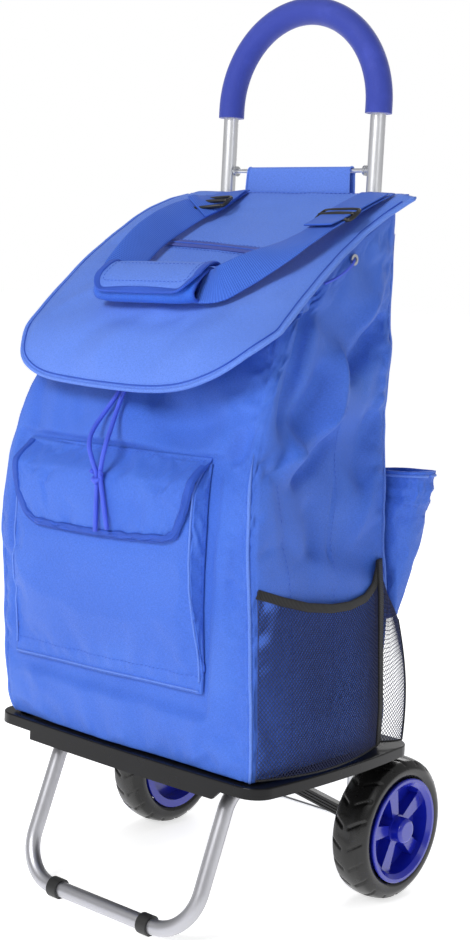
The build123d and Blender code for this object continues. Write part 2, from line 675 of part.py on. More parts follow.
def bag_loft(inset):
    """The bag's body through its sections, each drawn in by the inset."""
    with BuildPart() as body:
        for height, left_x, right_x, front_y, back_y in BAG_SECTIONS:
            lift = inset if height == BAG_BOTTOM_Z else 0
            with BuildSketch(Plane.XY.offset(height + lift)):
                with Locations(((left_x + right_x) / 2, (front_y + back_y) / 2)):
                    RectangleRounded(
                        right_x - left_x - 2 * inset,
                        back_y - front_y - 2 * inset,
                        BAG_CORNER - inset,
                    )
        loft()
    return body


bag_hollow = bag_loft(CLOTH)
with BuildPart() as bag_body:
    add(bag_loft(0).part)
    add(bag_hollow.part, mode=Mode.SUBTRACT)
    with BuildSketch(Plane.YZ.offset(-2 * DECK_HALF)):
        with BuildLine():
            Polyline(*MOUTH_LINE, close=True)
        make_face()
    extrude(amount=4 * DECK_HALF, mode=Mode.SUBTRACT)
pieces["bag_body"] = bag_body

POCKET_LEFT_X = -146.0
POCKET_RIGHT_X = 120.0
POCKET_LOW_Z = 250.0
POCKET_TOP_Z = 462.0
POCKET_BACK_Y = -150.5
POCKET_FRONT_Y = -165.5
POCKET_WIDTH = POCKET_RIGHT_X - POCKET_LEFT_X
POCKET_MID_X = (POCKET_RIGHT_X + POCKET_LEFT_X) / 2
with BuildPart() as front_pocket:
    with BuildSketch(Plane.XZ.offset(-POCKET_BACK_Y)):
        with Locations((POCKET_MID_X, (POCKET_LOW_Z + POCKET_TOP_Z) / 2)):
            RectangleRounded(POCKET_WIDTH, POCKET_TOP_Z - POCKET_LOW_Z, 12)
    extrude(amount=POCKET_BACK_Y - POCKET_FRONT_Y)
    with Locations((POCKET_MID_X, (POCKET_BACK_Y + POCKET_FRONT_Y) / 2, POCKET_LOW_Z + CLOTH)):
        Box(
            POCKET_WIDTH - 2 * CLOTH,
            POCKET_BACK_Y - POCKET_FRONT_Y - 2 * CLOTH,
            POCKET_TOP_Z,
            align=(Align.CENTER, Align.CENTER, Align.MIN),
            mode=Mode.SUBTRACT,
        )
pieces["front_pocket"] = front_pocket

FLAP_Y = -168.5
FLAP_THICKNESS = 2.5
FLAP_TOP_Z = 474.0
with BuildPart() as pocket_flap:
    with BuildSketch(Plane.XZ.offset(-FLAP_Y)) as flap_face:
        with BuildLine():
            Polyline(
                (-150, FLAP_TOP_Z),
                (116, FLAP_TOP_Z),
                (90, 426),
                (82, 392),
                (-120, 384),
                (-157, 412),
                (-157, 452),
                close=True,
            )
        make_face()
        fillet(flap_face.vertices().group_by(Axis.Y)[0], 10)
    extrude(amount=FLAP_THICKNESS)
pieces["pocket_flap"] = pocket_flap

MESH_FRONT_Y = -122.0
MESH_BACK_Y = 40.0
MESH_LOW_Z = 178.0
MESH_TOP_Z = 345.0
MESH_OUT_X = 189.0
MESH_WALL = 2.0


def mesh_plan(inset):
    """The pocket's plan: flat against the bag, bowed outward."""
    with BuildSketch(mode=Mode.PRIVATE) as plan:
        with BuildLine():
            Polyline(
                (165 + inset, MESH_BACK_Y - inset),
                (165 + inset, MESH_FRONT_Y + inset),
                (172, MESH_FRONT_Y + inset),
            )
            ThreePointArc(
                (172, MESH_FRONT_Y + inset),
                (MESH_OUT_X - inset, (MESH_FRONT_Y + MESH_BACK_Y) / 2),
                (172, MESH_BACK_Y - inset),
            )
            Line((172, MESH_BACK_Y - inset), (165 + inset, MESH_BACK_Y - inset))
        make_face()
    return plan


with BuildPart() as mesh_pocket:
    with BuildSketch(Plane.XY.offset(MESH_LOW_Z)):
        add(mesh_plan(0).sketch)
    extrude(amount=MESH_TOP_Z - MESH_LOW_Z)
    with BuildSketch(Plane.XY.offset(MESH_LOW_Z + MESH_WALL)):
        add(mesh_plan(MESH_WALL).sketch)
    extrude(amount=MESH_TOP_Z - MESH_LOW_Z, mode=Mode.SUBTRACT)
pieces["mesh_pocket"] = mesh_pocket

# The tall pocket on the bag's back corner: height, width, depth, centre x, centre y.
TALL_POCKET = [(300, 40, 24, 150, 90), (370, 62, 38, 149, 98), (445, 70, 46, 149, 102)]
with BuildPart() as back_pocket:
    for inset, mode in ((0, Mode.ADD), (1.8, Mode.SUBTRACT)):
        for height, width, depth, mid_x, mid_y in TALL_POCKET:
            lift = 0
            if inset and height == TALL_POCKET[0][0]:
                lift = inset
            if inset and height == TALL_POCKET[-1][0]:
                lift = 1
            with BuildSketch(Plane.XY.offset(height + lift)):
                with Locations((mid_x, mid_y)):
                    RectangleRounded(width - 2 * inset, depth - 2 * inset, 10 - inset)
        loft(mode=mode)
pieces["back_pocket"] = back_pocket

LOOP_LEFT_X = -69.0
LOOP_RIGHT_X = 71.0
with BuildPart() as hanger_loop:
    with BuildSketch(Plane.YZ.offset(LOOP_LEFT_X)):
        with Locations((HANDLE_Y, ROD_Z)):
            Circle(ROD_RADIUS + 2.4)
        with Locations((HANDLE_Y - ROD_RADIUS - 1.4, ROD_Z)):
            Rectangle(2, ROD_Z - 729, align=(Align.CENTER, Align.MAX))
        with Locations((HANDLE_Y, ROD_Z)):
            Circle(ROD_RADIUS + 0.4, mode=Mode.SUBTRACT)
    extrude(amount=LOOP_RIGHT_X - LOOP_LEFT_X)
pieces["hanger_loop"] = hanger_loop

# ---------------------------------------------------------------- lid, strap and buckles
LID_LINE = [(HINGE_Y, HINGE_Z + 2), (-1, 689), (-48, 658), (-91, 628), (-136, 590)]
LIP_MIDDLE = (-154, 565)
LIP_END = (-159, LID_LIP_Z)
LID_RISE = 2.6
LID_RUN = 1.5

with BuildPart() as lid:
    top_line = [(y - LID_RUN, z + LID_RISE) for y, z in LID_LINE]
    with BuildSketch(Plane.YZ.offset(LID_LEFT_X)):
        with BuildLine():
            Polyline(*LID_LINE)
            ThreePointArc(LID_LINE[-1], LIP_MIDDLE, LIP_END)
            Line(LIP_END, (LIP_END[0] - LID_THICKNESS, LIP_END[1]))
            ThreePointArc(
                (LIP_END[0] - LID_THICKNESS, LIP_END[1]),
                (LIP_MIDDLE[0] - LID_THICKNESS, LIP_MIDDLE[1] + 1),
                top_line[-1],
            )
            Polyline(*top_line[::-1])
            Line(top_line[0], LID_LINE[0])
        make_face()
    extrude(amount=LID_RIGHT_X - LID_LEFT_X)
    with BuildSketch(Plane.XZ.offset(-HINGE_Y - 20)) as lid_front:
        with Locations(((LID_LEFT_X + LID_RIGHT_X) / 2, LID_LIP_Z - LID_CORNER_DROP)):
            Rectangle(LID_RIGHT_X - LID_LEFT_X, 300, align=(Align.CENTER, Align.MIN))
        fillet(lid_front.vertices().group_by(Axis.Y)[0], LID_CORNER)
    extrude(amount=400, mode=Mode.INTERSECT)
pieces["lid"] = lid

# Straps lie on the lid's top, square to its slope.
SLOPE_START = Vector(0, LID_LINE[0][0], LID_LINE[0][1])
SLOPE_END = Vector(0, LID_LINE[3][0], LID_LINE[3][1])
SLOPE_NORMAL = (SLOPE_END - SLOPE_START).cross(Vector(1, 0, 0)).normalized()
STRAP_LIFT = 9.0
STRAP_THICKNESS = 2.0
STRAP_PLANE = Plane(
    origin=SLOPE_START + SLOPE_NORMAL * STRAP_LIFT,
    x_dir=(1, 0, 0),
    z_dir=SLOPE_NORMAL,
)
STRAP_HALF = 17.0
# Strap ends on that plane: x, and distance down the slope from the hinge as a negative number.
LEFT_STRAP = [(-66, -44), (-76, -184)]
RIGHT_STRAP = [(122, -48), (80, -196)]
PAD_CENTRE = (-11, -216)
PAD_LENGTH = 146.0
PAD_WIDTH = 54.0
PAD_THICKNESS = 12.0
PAD_TURN = 2.0


def flat_strip(start, end, half_width, thickness, base):
    """A flat strip from start to end on the strap plane."""
    run = Vector(*end) - Vector(*start)
    middle = (Vector(*start) + Vector(*end)) * 0.5
    turn = Vector(1, 0, 0).get_signed_angle(run, Vector(0, 0, 1))
    with BuildPart() as strip:
        with BuildSketch(STRAP_PLANE.offset(base)):
            with Locations(Location((middle.X, middle.Y), turn)):
                Rectangle(run.length, 2 * half_width)
        extrude(amount=thickness)
    return strip


pieces["carry_strap_left"] = flat_strip(*LEFT_STRAP, STRAP_HALF, STRAP_THICKNESS, 0)
pieces["carry_strap_right"] = flat_strip(*RIGHT_STRAP, STRAP_HALF, STRAP_THICKNESS, 0)

with BuildPart() as strap_pad:
    with BuildSketch(STRAP_PLANE.offset(STRAP_THICKNESS + 0.3)):
        with Locations(Location(PAD_CENTRE, PAD_TURN)):
            RectangleRounded(PAD_LENGTH, PAD_WIDTH, 12)
    extrude(amount=PAD_THICKNESS)
    fillet(strap_pad.faces().sort_by(Axis((0, 0, 0), tuple(SLOPE_NORMAL)))[-1].edges(), 4)
pieces["strap_pad"] = strap_pad

BUCKLE_WIDTH = 38.0
BUCKLE_LENGTH = 24.0
BUCKLE_THICKNESS = 4.0
with BuildPart() as strap_buckles:
    for (x, down), turn in ((LEFT_STRAP[0], -78), (RIGHT_STRAP[0], 73)):
        with BuildSketch(STRAP_PLANE.offset(STRAP_THICKNESS + 0.3)):
            with Locations(Location((x, down), turn)):
                RectangleRounded(BUCKLE_LENGTH, BUCKLE_WIDTH, 3)
                with Locations((-BUCKLE_LENGTH / 4, 0), (BUCKLE_LENGTH / 4, 0)):
                    Rectangle(5, BUCKLE_WIDTH - 8, mode=Mode.SUBTRACT)
        extrude(amount=BUCKLE_THICKNESS)
pieces["strap_buckles"] = strap_buckles

# ---------------------------------------------------------------- drawstring
KNOT_CENTRE = (-19, -177, 446)
KNOT_RADIUS = 5.8
CORD_ROUTES = {
    "drawstring_left": [
        (-22, -91, 598),
        (-21, -118, 580),
        (-19, -138, 552),
        (-27, -145, 525),
        (-42, -150, 503),
        (-43, -163, 488),
        (-33, -178, 475),
        (-24, -180, 459),
        KNOT_CENTRE,
        (-20, -177, 420),
        (-19, -177, 390),
    ],
    "drawstring_right": [
        (-6, -91, 598),
        (-7, -118, 580),
        (-11, -138, 554),
        (-20, -145, 527),
        (-24, -150, 507),
        (-17, -164, 490),
        (-8, -179, 477),
        (-11, -180, 461),
        (-16, -177, 446),
        (-9, -178, 422),
        (-3, -177, 394),
    ],
    "eyelet_loop": [
        (148.2, -4, 668),
        (153, -10, 664),
        (154, -26, 655),
        (153, -42, 647),
        (148.4, -50, 643),
    ],
}
CORD_RADII = {
    "drawstring_left": CORD_RADIUS,
    "drawstring_right": CORD_RADIUS,
    "eyelet_loop": LOOP_CORD_RADIUS,
}


def bend_radii(route):
    """Each corner's radius, from the shorter of its two runs and its turn."""
    radii = []
    for before, here, after in zip(route, route[1:], route[2:]):
        arriving = Vector(*here) - Vector(*before)
        leaving = Vector(*after) - Vector(*here)
        turn = arriving.get_angle(leaving)
        shorter = min(arriving.length, leaving.length)
        radii.append(CORD_BEND_SHARE * shorter / tan(radians(turn) / 2))
    return radii


for name, route in CORD_ROUTES.items():
    radii = bend_radii(route)
    print(name, "bend radii", [round(radius, 1) for radius in radii])
    with BuildPart() as cord:
        with BuildLine() as cord_path:
            FilletPolyline(*route, radius=radii)
        with BuildSketch(Plane(origin=route[0], z_dir=cord_path.wire() % 0)):
            Circle(CORD_RADII[name])
        sweep(path=cord_path.wire())
    print(name, "length", round(cord_path.wire().length, 1))
    pieces[name] = cord

with BuildPart() as drawstring_knot:
    with Locations(KNOT_CENTRE):
        Sphere(KNOT_RADIUS)
pieces["drawstring_knot"] = drawstring_knot

EYELET = (147.5, -4, 668)
with BuildPart() as side_eyelet:
    with Locations(EYELET):
        Cylinder(5.5, 1.6, rotation=(0, 90, 0), align=(Align.CENTER, Align.CENTER, Align.MIN))
        Cylinder(2.8, 10, rotation=(0, 90, 0), mode=Mode.SUBTRACT)
pieces["side_eyelet"] = side_eyelet

for name, piece in pieces.items():
    piece.part.label = name
    export_step(piece.part, f"parts/{name}.step")
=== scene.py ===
import json
import math

import bpy
import numpy as np
from mathutils import Matrix, Vector, noise

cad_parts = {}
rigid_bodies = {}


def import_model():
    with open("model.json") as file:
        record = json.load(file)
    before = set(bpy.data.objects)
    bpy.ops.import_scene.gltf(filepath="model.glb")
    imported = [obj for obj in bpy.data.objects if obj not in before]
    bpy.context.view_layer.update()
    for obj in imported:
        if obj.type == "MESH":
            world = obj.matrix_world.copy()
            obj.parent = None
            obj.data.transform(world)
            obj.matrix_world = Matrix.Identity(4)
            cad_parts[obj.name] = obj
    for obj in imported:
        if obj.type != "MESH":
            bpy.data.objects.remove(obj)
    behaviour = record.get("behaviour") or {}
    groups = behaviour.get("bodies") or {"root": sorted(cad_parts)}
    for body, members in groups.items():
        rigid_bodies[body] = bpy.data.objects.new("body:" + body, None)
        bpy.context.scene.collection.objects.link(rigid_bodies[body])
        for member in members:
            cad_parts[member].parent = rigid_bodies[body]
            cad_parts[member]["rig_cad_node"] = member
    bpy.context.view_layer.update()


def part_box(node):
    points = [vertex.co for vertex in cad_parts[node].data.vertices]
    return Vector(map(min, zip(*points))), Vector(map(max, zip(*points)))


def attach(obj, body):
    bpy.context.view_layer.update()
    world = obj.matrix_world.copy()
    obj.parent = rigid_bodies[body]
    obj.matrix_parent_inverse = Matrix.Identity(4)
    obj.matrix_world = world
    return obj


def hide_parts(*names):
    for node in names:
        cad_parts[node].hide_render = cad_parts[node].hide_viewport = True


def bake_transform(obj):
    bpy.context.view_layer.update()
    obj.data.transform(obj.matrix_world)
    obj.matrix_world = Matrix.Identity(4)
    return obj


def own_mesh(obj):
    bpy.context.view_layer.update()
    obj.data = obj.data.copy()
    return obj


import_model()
MM = 0.001
SCENE = bpy.context.scene


# ---------------------------------------------------------------- camera, floor and light
CAMERA_PLACE = (1.0957, -1.2802, 0.6394)
CAMERA_RIGHT, CAMERA_UP = (0.7565, 0.6519, 0.0529), (-0.1151, 0.0532, 0.9919)
CAMERA_BACK = (0.6438, -0.7565, 0.1153)
CAMERA_LENS = 61.64
SKY_STRENGTH = 0.37
FLOOR_REACH = 60.0
FLOOR_GLOW = 0.67
# Each light's name, place, target, size in metres and power in watts.
LIGHTS = [
    ("key", (0.1, -2.5, 2.1), (0, -0.05, 0.5), 1.1, 60),
    ("side", (2.6, -0.5, 1.5), (0, 0, 0.45), 1.0, 3.5),
    ("rim", (-0.6, 2.2, 1.8), (0, 0, 0.6), 1.4, 22),
]


def make_camera():
    """The camera: front right, a little above the bag's middle."""
    data = bpy.data.cameras.new("camera")
    data.sensor_fit = "AUTO"
    data.sensor_width = 36.0
    data.lens = CAMERA_LENS
    data.clip_start = 0.05
    data.clip_end = 50.0
    camera = bpy.data.objects.new("camera", data)
    SCENE.collection.objects.link(camera)
    turn = Matrix((CAMERA_RIGHT, CAMERA_UP, CAMERA_BACK)).transposed()
    camera.matrix_world = Matrix.Translation(CAMERA_PLACE) @ turn.to_4x4()
    SCENE.camera = camera


def area_light(name, place, target, size, power):
    """A square soft light that looks at a target point."""
    data = bpy.data.lights.new(name, "AREA")
    data.shape = "SQUARE"
    data.size = size
    data.energy = power
    light = bpy.data.objects.new(name, data)
    SCENE.collection.objects.link(light)
    aim = Vector(target) - Vector(place)
    light.rotation_euler = aim.to_track_quat("-Z", "Y").to_euler()
    light.location = place


def make_surroundings():
    """A plain pale floor and a soft white studio."""
    world = bpy.data.worlds.new("studio")
    world.use_nodes = True
    sky = world.node_tree.nodes["Background"]
    sky.inputs["Color"].default_value = (1, 1, 1, 1)
    rays = world.node_tree.nodes.new("ShaderNodeLightPath")
    level = world.node_tree.nodes.new("ShaderNodeMapRange")
    level.inputs["To Min"].default_value = SKY_STRENGTH
    level.inputs["To Max"].default_value = 1.0
    world.node_tree.links.new(rays.outputs["Is Camera Ray"], level.inputs["Value"])
    world.node_tree.links.new(level.outputs[0], sky.inputs["Strength"])
    SCENE.world = world
    for light in LIGHTS:
        area_light(*light)
    mesh = bpy.data.meshes.new("floor")
    corners = [(FLOOR_REACH * x, FLOOR_REACH * y, 0) for x, y in ((-1, -1), (1, -1), (1, 1), (-1, 1))]
    mesh.from_pydata(corners, [], [(0, 1, 2, 3)])
    floor = bpy.data.objects.new("floor", mesh)
    SCENE.collection.objects.link(floor)
    material, graph = new_material("floor_paint", (0.93, 0.93, 0.93), roughness=0.7)
    graph.shader.inputs["Emission Color"].default_value = (1, 1, 1, 1)
    graph.shader.inputs["Emission Strength"].default_value = FLOOR_GLOW
    graph.tint((0.9, 0.9, 0.9), graph.noise(graph.coords(), 3.0), 0.5)
    floor.data.materials.append(material)
    SCENE.view_settings.view_transform = "Standard"
    SCENE.view_settings.look = "None"


# ---------------------------------------------------------------- materials
class Graph:
    """Short calls for the nodes that every material here uses."""

    def __init__(self, material):
        self.tree = material.node_tree
        self.shader = self.tree.nodes["Principled BSDF"]

    def add(self, kind, values=None, **settings):
        node = self.tree.nodes.new(kind)
        for key, value in settings.items():
            setattr(node, key, value)
        for key, value in (values or {}).items():
            if isinstance(value, bpy.types.NodeSocket):
                self.tree.links.new(value, node.inputs[key])
            else:
                node.inputs[key].default_value = value
        return node

    def coords(self, kind="Object"):
        return self.add("ShaderNodeTexCoord").outputs[kind]

    def stretch(self, coords, scale):
        return self.add("ShaderNodeMapping", {"Vector": coords, "Scale": scale}).outputs[0]

    def noise(self, coords, scale, detail=3.0, roughness=0.55):
        values = {"Vector": coords, "Scale": scale, "Detail": detail, "Roughness": roughness}
        return self.add("ShaderNodeTexNoise", values).outputs["Fac"]

    def math(self, operation, first, second=0.0):
        node = self.add("ShaderNodeMath", {0: first, 1: second}, operation=operation)
        return node.outputs[0]

    def wave(self, value, pitch):
        """A sine of a length, from 0 to 1, once every pitch."""
        turned = self.math("SINE", self.math("MULTIPLY", value, 2 * math.pi / pitch))
        return self.math("MULTIPLY_ADD", turned, 0.5)

    def ramp(self, value, low, high):
        values = {"Value": value, "From Min": low, "From Max": high}
        return self.add("ShaderNodeMapRange", values, clamp=True).outputs[0]

    def tint(self, colour, factor, strength):
        """Mixes another colour over the base colour by a factor."""
        socket = self.shader.inputs["Base Color"]
        node = self.add("ShaderNodeMix", data_type="RGBA")
        share = self.math("MULTIPLY", factor, strength)
        self.tree.links.new(share, node.inputs[0])
        if socket.is_linked:
            self.tree.links.new(socket.links[0].from_socket, node.inputs[6])
        else:
            node.inputs[6].default_value = socket.default_value
        node.inputs[7].default_value = (*colour, 1)
        self.tree.links.new(node.outputs[2], socket)

    def roughness(self, factor, low, high):
        values = {"Value": factor, "To Min": low, "To Max": high}
        node = self.add("ShaderNodeMapRange", values, clamp=True)
        self.tree.links.new(node.outputs[0], self.shader.inputs["Roughness"])

    def bump(self, height, distance, strength=1.0):
        """Adds a bump on top of any the shader already has."""
        node = self.add("ShaderNodeBump", {"Height": height, "Distance": distance})
        node.inputs["Strength"].default_value = strength
        socket = self.shader.inputs["Normal"]
        if socket.is_linked:
            self.tree.links.new(socket.links[0].from_socket, node.inputs["Normal"])
        self.tree.links.new(node.outputs[0], socket)

    def uv(self):
        split = self.add("ShaderNodeSeparateXYZ", {0: self.coords("UV")})
        return split.outputs[0], split.outputs[1]


def new_material(name, colour, **sockets):
    material = bpy.data.materials.new(name)
    material.use_nodes = True
    graph = Graph(material)
    graph.shader.inputs["Base Color"].default_value = (*colour, 1)
    for key, value in sockets.items():
        socket = key.replace("_", " ").title().replace("Ior", "IOR")
        graph.shader.inputs[socket].default_value = value
    return material, graph


WEAVE_PITCH, WEAVE_DEPTH = 0.0009, 0.00022
DRAWN_DEPTH = 0.00003
BRAID_PITCH = 0.0024


def woven(name, colour, dark, light):
    """Coated woven polyester: crossed threads, slubs and a soft sheen."""
    material, graph = new_material(
        name, colour, roughness=0.5, sheen_weight=0.16, sheen_roughness=0.45, specular_ior_level=0.42)
    graph.shader.inputs["Sheen Tint"].default_value = (0.55, 0.68, 1.0, 1)
    along, across = graph.uv()
    warp = graph.wave(along, WEAVE_PITCH)
    weft = graph.wave(across, WEAVE_PITCH)
    cells = graph.math("ABSOLUTE", graph.math("SUBTRACT", warp, weft))
    place = graph.coords()
    graph.tint(dark, graph.ramp(graph.noise(place, 7.0, 4.0), 0.42, 0.72), 0.55)
    graph.tint(light, graph.ramp(graph.noise(place, 16.0, 5.0), 0.52, 0.8), 0.4)
    shade = tuple(0.62 * c for c in colour)
    glint = tuple(min(1.0, 1.12 * c + 0.03) for c in colour)
    for scale in ((1300.0, 330.0, 1.0), (330.0, 1300.0, 1.0)):
        slub = graph.noise(graph.stretch(graph.coords("UV"), scale), 1.0, 2.0)
        graph.tint(shade, graph.ramp(slub, 0.45, 0.78), 0.42)
        graph.tint(glint, graph.ramp(slub, 0.55, 0.25), 0.4)
    graph.tint(shade, cells, 0.26)
    graph.roughness(graph.noise(place, 22.0, 3.0), 0.40, 0.6)
    graph.bump(cells, WEAVE_DEPTH, 0.8)
    graph.bump(graph.noise(place, 45.0, 5.0), 0.0014, 0.6)
    return material


def ribbed(name, colour, dark, pitch=0.0021):
    """Ribbed webbing, with its ribs across its length and painted shade in the grooves between them."""
    material, graph = new_material(
        name, colour, roughness=0.6, sheen_weight=0.06, sheen_roughness=0.5, specular_ior_level=0.3)
    along, across = graph.uv()
    rib = graph.wave(along, pitch)
    thread = graph.wave(across, pitch * 0.5)
    # painted shade: the colour darkens in the grooves between the ribs, where the bump is low
    graph.tint(dark, graph.math("SUBTRACT", 1.0, rib), 0.5)
    graph.tint(dark, graph.noise(graph.coords(), 60.0, 3.0), 0.25)
    graph.bump(rib, 0.0006, 0.9)
    graph.bump(thread, 0.0002, 0.6)
    return material


def metal(name, colour, low, high, grain):
    """Satin metal, with its grain stretched by a scale along each axis."""
    material, graph = new_material(name, colour, metallic=1.0, roughness=low)
    place = graph.coords()
    lines = graph.noise(graph.stretch(place, grain), 1.0, 3.0)
    graph.roughness(lines, low, high)
    dull = tuple(0.78 * c for c in colour)
    graph.tint(dull, graph.ramp(graph.noise(place, 9.0, 4.0), 0.5, 0.8), 0.5)
    graph.bump(lines, DRAWN_DEPTH, 0.5)
    return material


def moulded(name, colour, light, low, high, scale=1400.0, depth=0.00008, coat=0.0, shine=0.5):
    """Moulded plastic or rubber, with fine grain and faint flow marks."""
    material, graph = new_material(
        name, colour, roughness=low, coat_weight=coat, coat_roughness=0.12, specular_ior_level=shine)
    place = graph.coords()
    graph.tint(light, graph.ramp(graph.noise(place, 14.0, 5.0), 0.5, 0.85), 0.35)
    graph.roughness(graph.noise(place, 35.0, 4.0), low, high)
    graph.bump(graph.noise(place, scale, 2.0), depth, 0.6)
    return material


def foam_material():
    """Closed-cell foam, with small pits."""
    material, graph = new_material(
        "foam", (0.020, 0.043, 0.32), roughness=0.72, sheen_weight=0.3, sheen_roughness=0.4)
    place = graph.coords()
    cells = graph.add("ShaderNodeTexVoronoi", {"Vector": place, "Scale": 950.0}).outputs["Distance"]
    graph.tint((0.02, 0.03, 0.28), graph.ramp(cells, 0.2, 0.7), 0.4)
    graph.tint((0.06, 0.09, 0.55), graph.ramp(graph.noise(place, 30.0, 4.0), 0.5, 0.8), 0.4)
    graph.roughness(graph.noise(place, 50.0, 3.0), 0.62, 0.82)
    graph.bump(cells, 0.00018, 0.7)
    return material


def braid_material():
    """Braided cord: two sets of strands that cross on a slant, with painted shade in the gaps between them.
    """
    material, graph = new_material("cord_braid", (0.050, 0.095, 0.74), roughness=0.6, sheen_weight=0.1)
    along, across = graph.uv()
    slant = graph.math("MULTIPLY", across, 0.8)
    first = graph.wave(graph.math("ADD", along, slant), BRAID_PITCH)
    second = graph.wave(graph.math("SUBTRACT", along, slant), BRAID_PITCH)
    strands = graph.math("MAXIMUM", first, second)
    # painted shade: the colour darkens in the gaps between the strands, where the bump is low
    graph.tint((0.012, 0.045, 0.42), graph.math("SUBTRACT", 1.0, strands), 0.6)
    graph.tint((0.06, 0.16, 0.84), graph.noise(graph.coords(), 300.0, 2.0), 0.3)
    graph.bump(strands, 0.0005, 0.9)
    return material


BLUE = (0.043, 0.152, 0.70)
BLUE_DARK = (0.022, 0.102, 0.55)
BLUE_LIGHT = (0.086, 0.236, 0.82)
MATERIALS = {
    "bag": woven("bag_cloth", BLUE, BLUE_DARK, BLUE_LIGHT),
    "sleeve": woven("sleeve_cloth", (0.010, 0.115, 0.66), (0.006, 0.08, 0.56), (0.03, 0.17, 0.76)),
    "lid": woven("lid_cloth", (0.10, 0.225, 0.78), (0.07, 0.18, 0.70), (0.13, 0.27, 0.85)),
    "piping": woven("piping_cloth", (0.11, 0.24, 0.80), (0.06, 0.16, 0.66), (0.16, 0.32, 0.88)),
    "binding": ribbed("binding_tape", (0.026, 0.105, 0.60), (0.016, 0.07, 0.46), 0.0016),
    "webbing": ribbed("strap_webbing", (0.050, 0.155, 0.66), (0.020, 0.08, 0.46)),
    "zip": ribbed("zip_tape", (0.085, 0.13, 0.52), (0.045, 0.075, 0.36), 0.0012),
    "stitch": moulded("stitch_thread", (0.035, 0.11, 0.56), (0.06, 0.16, 0.66), 0.5, 0.65, 2500.0),
    "net": moulded("net_thread", (0.012, 0.018, 0.075), (0.03, 0.045, 0.16), 0.5, 0.7, 2600.0),
    "elastic": ribbed("elastic_tape", (0.012, 0.012, 0.014), (0.004, 0.004, 0.005), 0.0018),
    "cord": braid_material(),
    "foam": foam_material(),
    "tube": metal("satin_tube", (0.84, 0.85, 0.88), 0.24, 0.38, (900.0, 900.0, 30.0)),
    # a darker copy of the tube metal for the leg: the leg is greyer than the handle, and its colour is also
    # painted shade that holds back the bright floor's reflection
    "leg": metal("leg_metal_painted_shade", (0.50, 0.50, 0.53), 0.34, 0.5, (900.0, 900.0, 30.0)),
    "plate": metal("zinc_plate", (0.62, 0.63, 0.65), 0.3, 0.48, (300.0, 300.0, 300.0)),
    "bolt": metal("zinc_bolt", (0.55, 0.56, 0.58), 0.26, 0.42, (500.0, 500.0, 500.0)),
    "deck": moulded("deck_plastic", (0.006, 0.006, 0.007), (0.014, 0.014, 0.015), 0.22, 0.36,
                    scale=1100.0, depth=0.00006, shine=0.22),
    "black": moulded("black_plastic", (0.012, 0.012, 0.013), (0.03, 0.03, 0.032), 0.3, 0.45),
    "cap": moulded("cap_rubber", (0.014, 0.014, 0.014), (0.035, 0.035, 0.035), 0.38, 0.55),
    "nylon": moulded("bush_nylon", (0.72, 0.72, 0.70), (0.8, 0.8, 0.78), 0.35, 0.5),
    "rim": moulded("rim_plastic", (0.008, 0.016, 0.40), (0.02, 0.035, 0.54), 0.18, 0.28,
                   scale=1600.0, depth=0.00003, coat=0.5),
    "tyre": moulded("tyre_rubber", (0.008, 0.008, 0.008), (0.016, 0.015, 0.015), 0.2, 0.34,
                    scale=900.0, depth=0.00006, coat=0.12, shine=0.4),
}

NODE_LOOKS = {
    "tube": ["handle_tube", "cross_rod", "tie_rod"],
    "leg": ["front_leg"],
    "plate": ["base_beam", "wheel_post_left", "wheel_post_right", "deck_lug_left", "deck_lug_right",
              "leg_bracket_left", "leg_bracket_right", "wheel_bracket_left", "wheel_bracket_right"],
    "bolt": ["rod_flanges", "post_nuts", "fold_pin_left", "fold_pin_right", "lug_screws", "leg_pins",
             "axle_left", "axle_right", "push_nut_left", "push_nut_right", "side_eyelet"],
    "black": ["brace_left", "brace_right", "centre_hanger", "strap_buckles"],
    "deck": ["deck_tray"],
    "cap": ["foot_caps"],
    "nylon": ["axle_spacer_left", "axle_spacer_right", "hub_bush_left", "hub_bush_right"],
    "rim": ["wheel_rim_left", "wheel_rim_right", "hub_cap_left", "hub_cap_right"],
    "tyre": ["tyre_left", "tyre_right"],
    "foam": ["foam_grip"],
}


def paint_cad():
    """Gives every carried-over CAD node its material."""
    looks = {node: look for look, nodes in NODE_LOOKS.items() for node in nodes}
    for part in bpy.data.objects:
        look = looks.get(part.get("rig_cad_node"))
        if look:
            if not part.data.materials:
                part.data.materials.append(None)
            for index in range(len(part.data.materials)):
                part.data.materials[index] = MATERIALS[look]


# ---------------------------------------------------------------- mesh helpers
def unit(vectors):
    """Each vector at length 1."""
    return vectors / np.linalg.norm(vectors, axis=-1, keepdims=True)


def lengths(path):
    """The length along a path up to each of its points."""
    return np.concatenate([[0], np.cumsum(np.linalg.norm(np.diff(path, axis=0), axis=1))])


def between(a, b, c, d, f):
    """The point a share f of the way from b to c, on the Catmull-Rom curve through all four."""
    square, cube = 2 * a - 5 * b + 4 * c - d, 3 * b - a - 3 * c + d
    return 0.5 * (2 * b + (c - a) * f + square * f**2 + cube * f**3)


def spline(points, count):
    """count points along a Catmull-Rom curve through the given points, evenly spaced in length."""
    p = np.array(points, float)
    p = np.vstack([2 * p[0] - p[1], p, 2 * p[-1] - p[-2]])
    t = np.linspace(0, len(p) - 3, (len(p) - 3) * 16 + 1)
    i = np.minimum(t.astype(int), len(p) - 4)
    q = between(p[i], p[i + 1], p[i + 2], p[i + 3], (t - i)[:, None])
    run = lengths(q)
    at = np.linspace(0, run[-1], count)
    return np.stack([np.interp(at, run, q[:, k]) for k in range(q.shape[1])], axis=1)


def smooth_step(x, low, high):
    """0 below low, 1 above high and a smooth rise between them."""
    t = np.clip((np.asarray(x, float) - low) / (high - low), 0, 1)
    return t * t * (3 - 2 * t)


def window(x, span, before, after):
    """1 inside a span, fading to 0 over the given lengths before and after it."""
    low, high = span
    return smooth_step(x, low - before, low) * (1 - smooth_step(x, high, high + after))


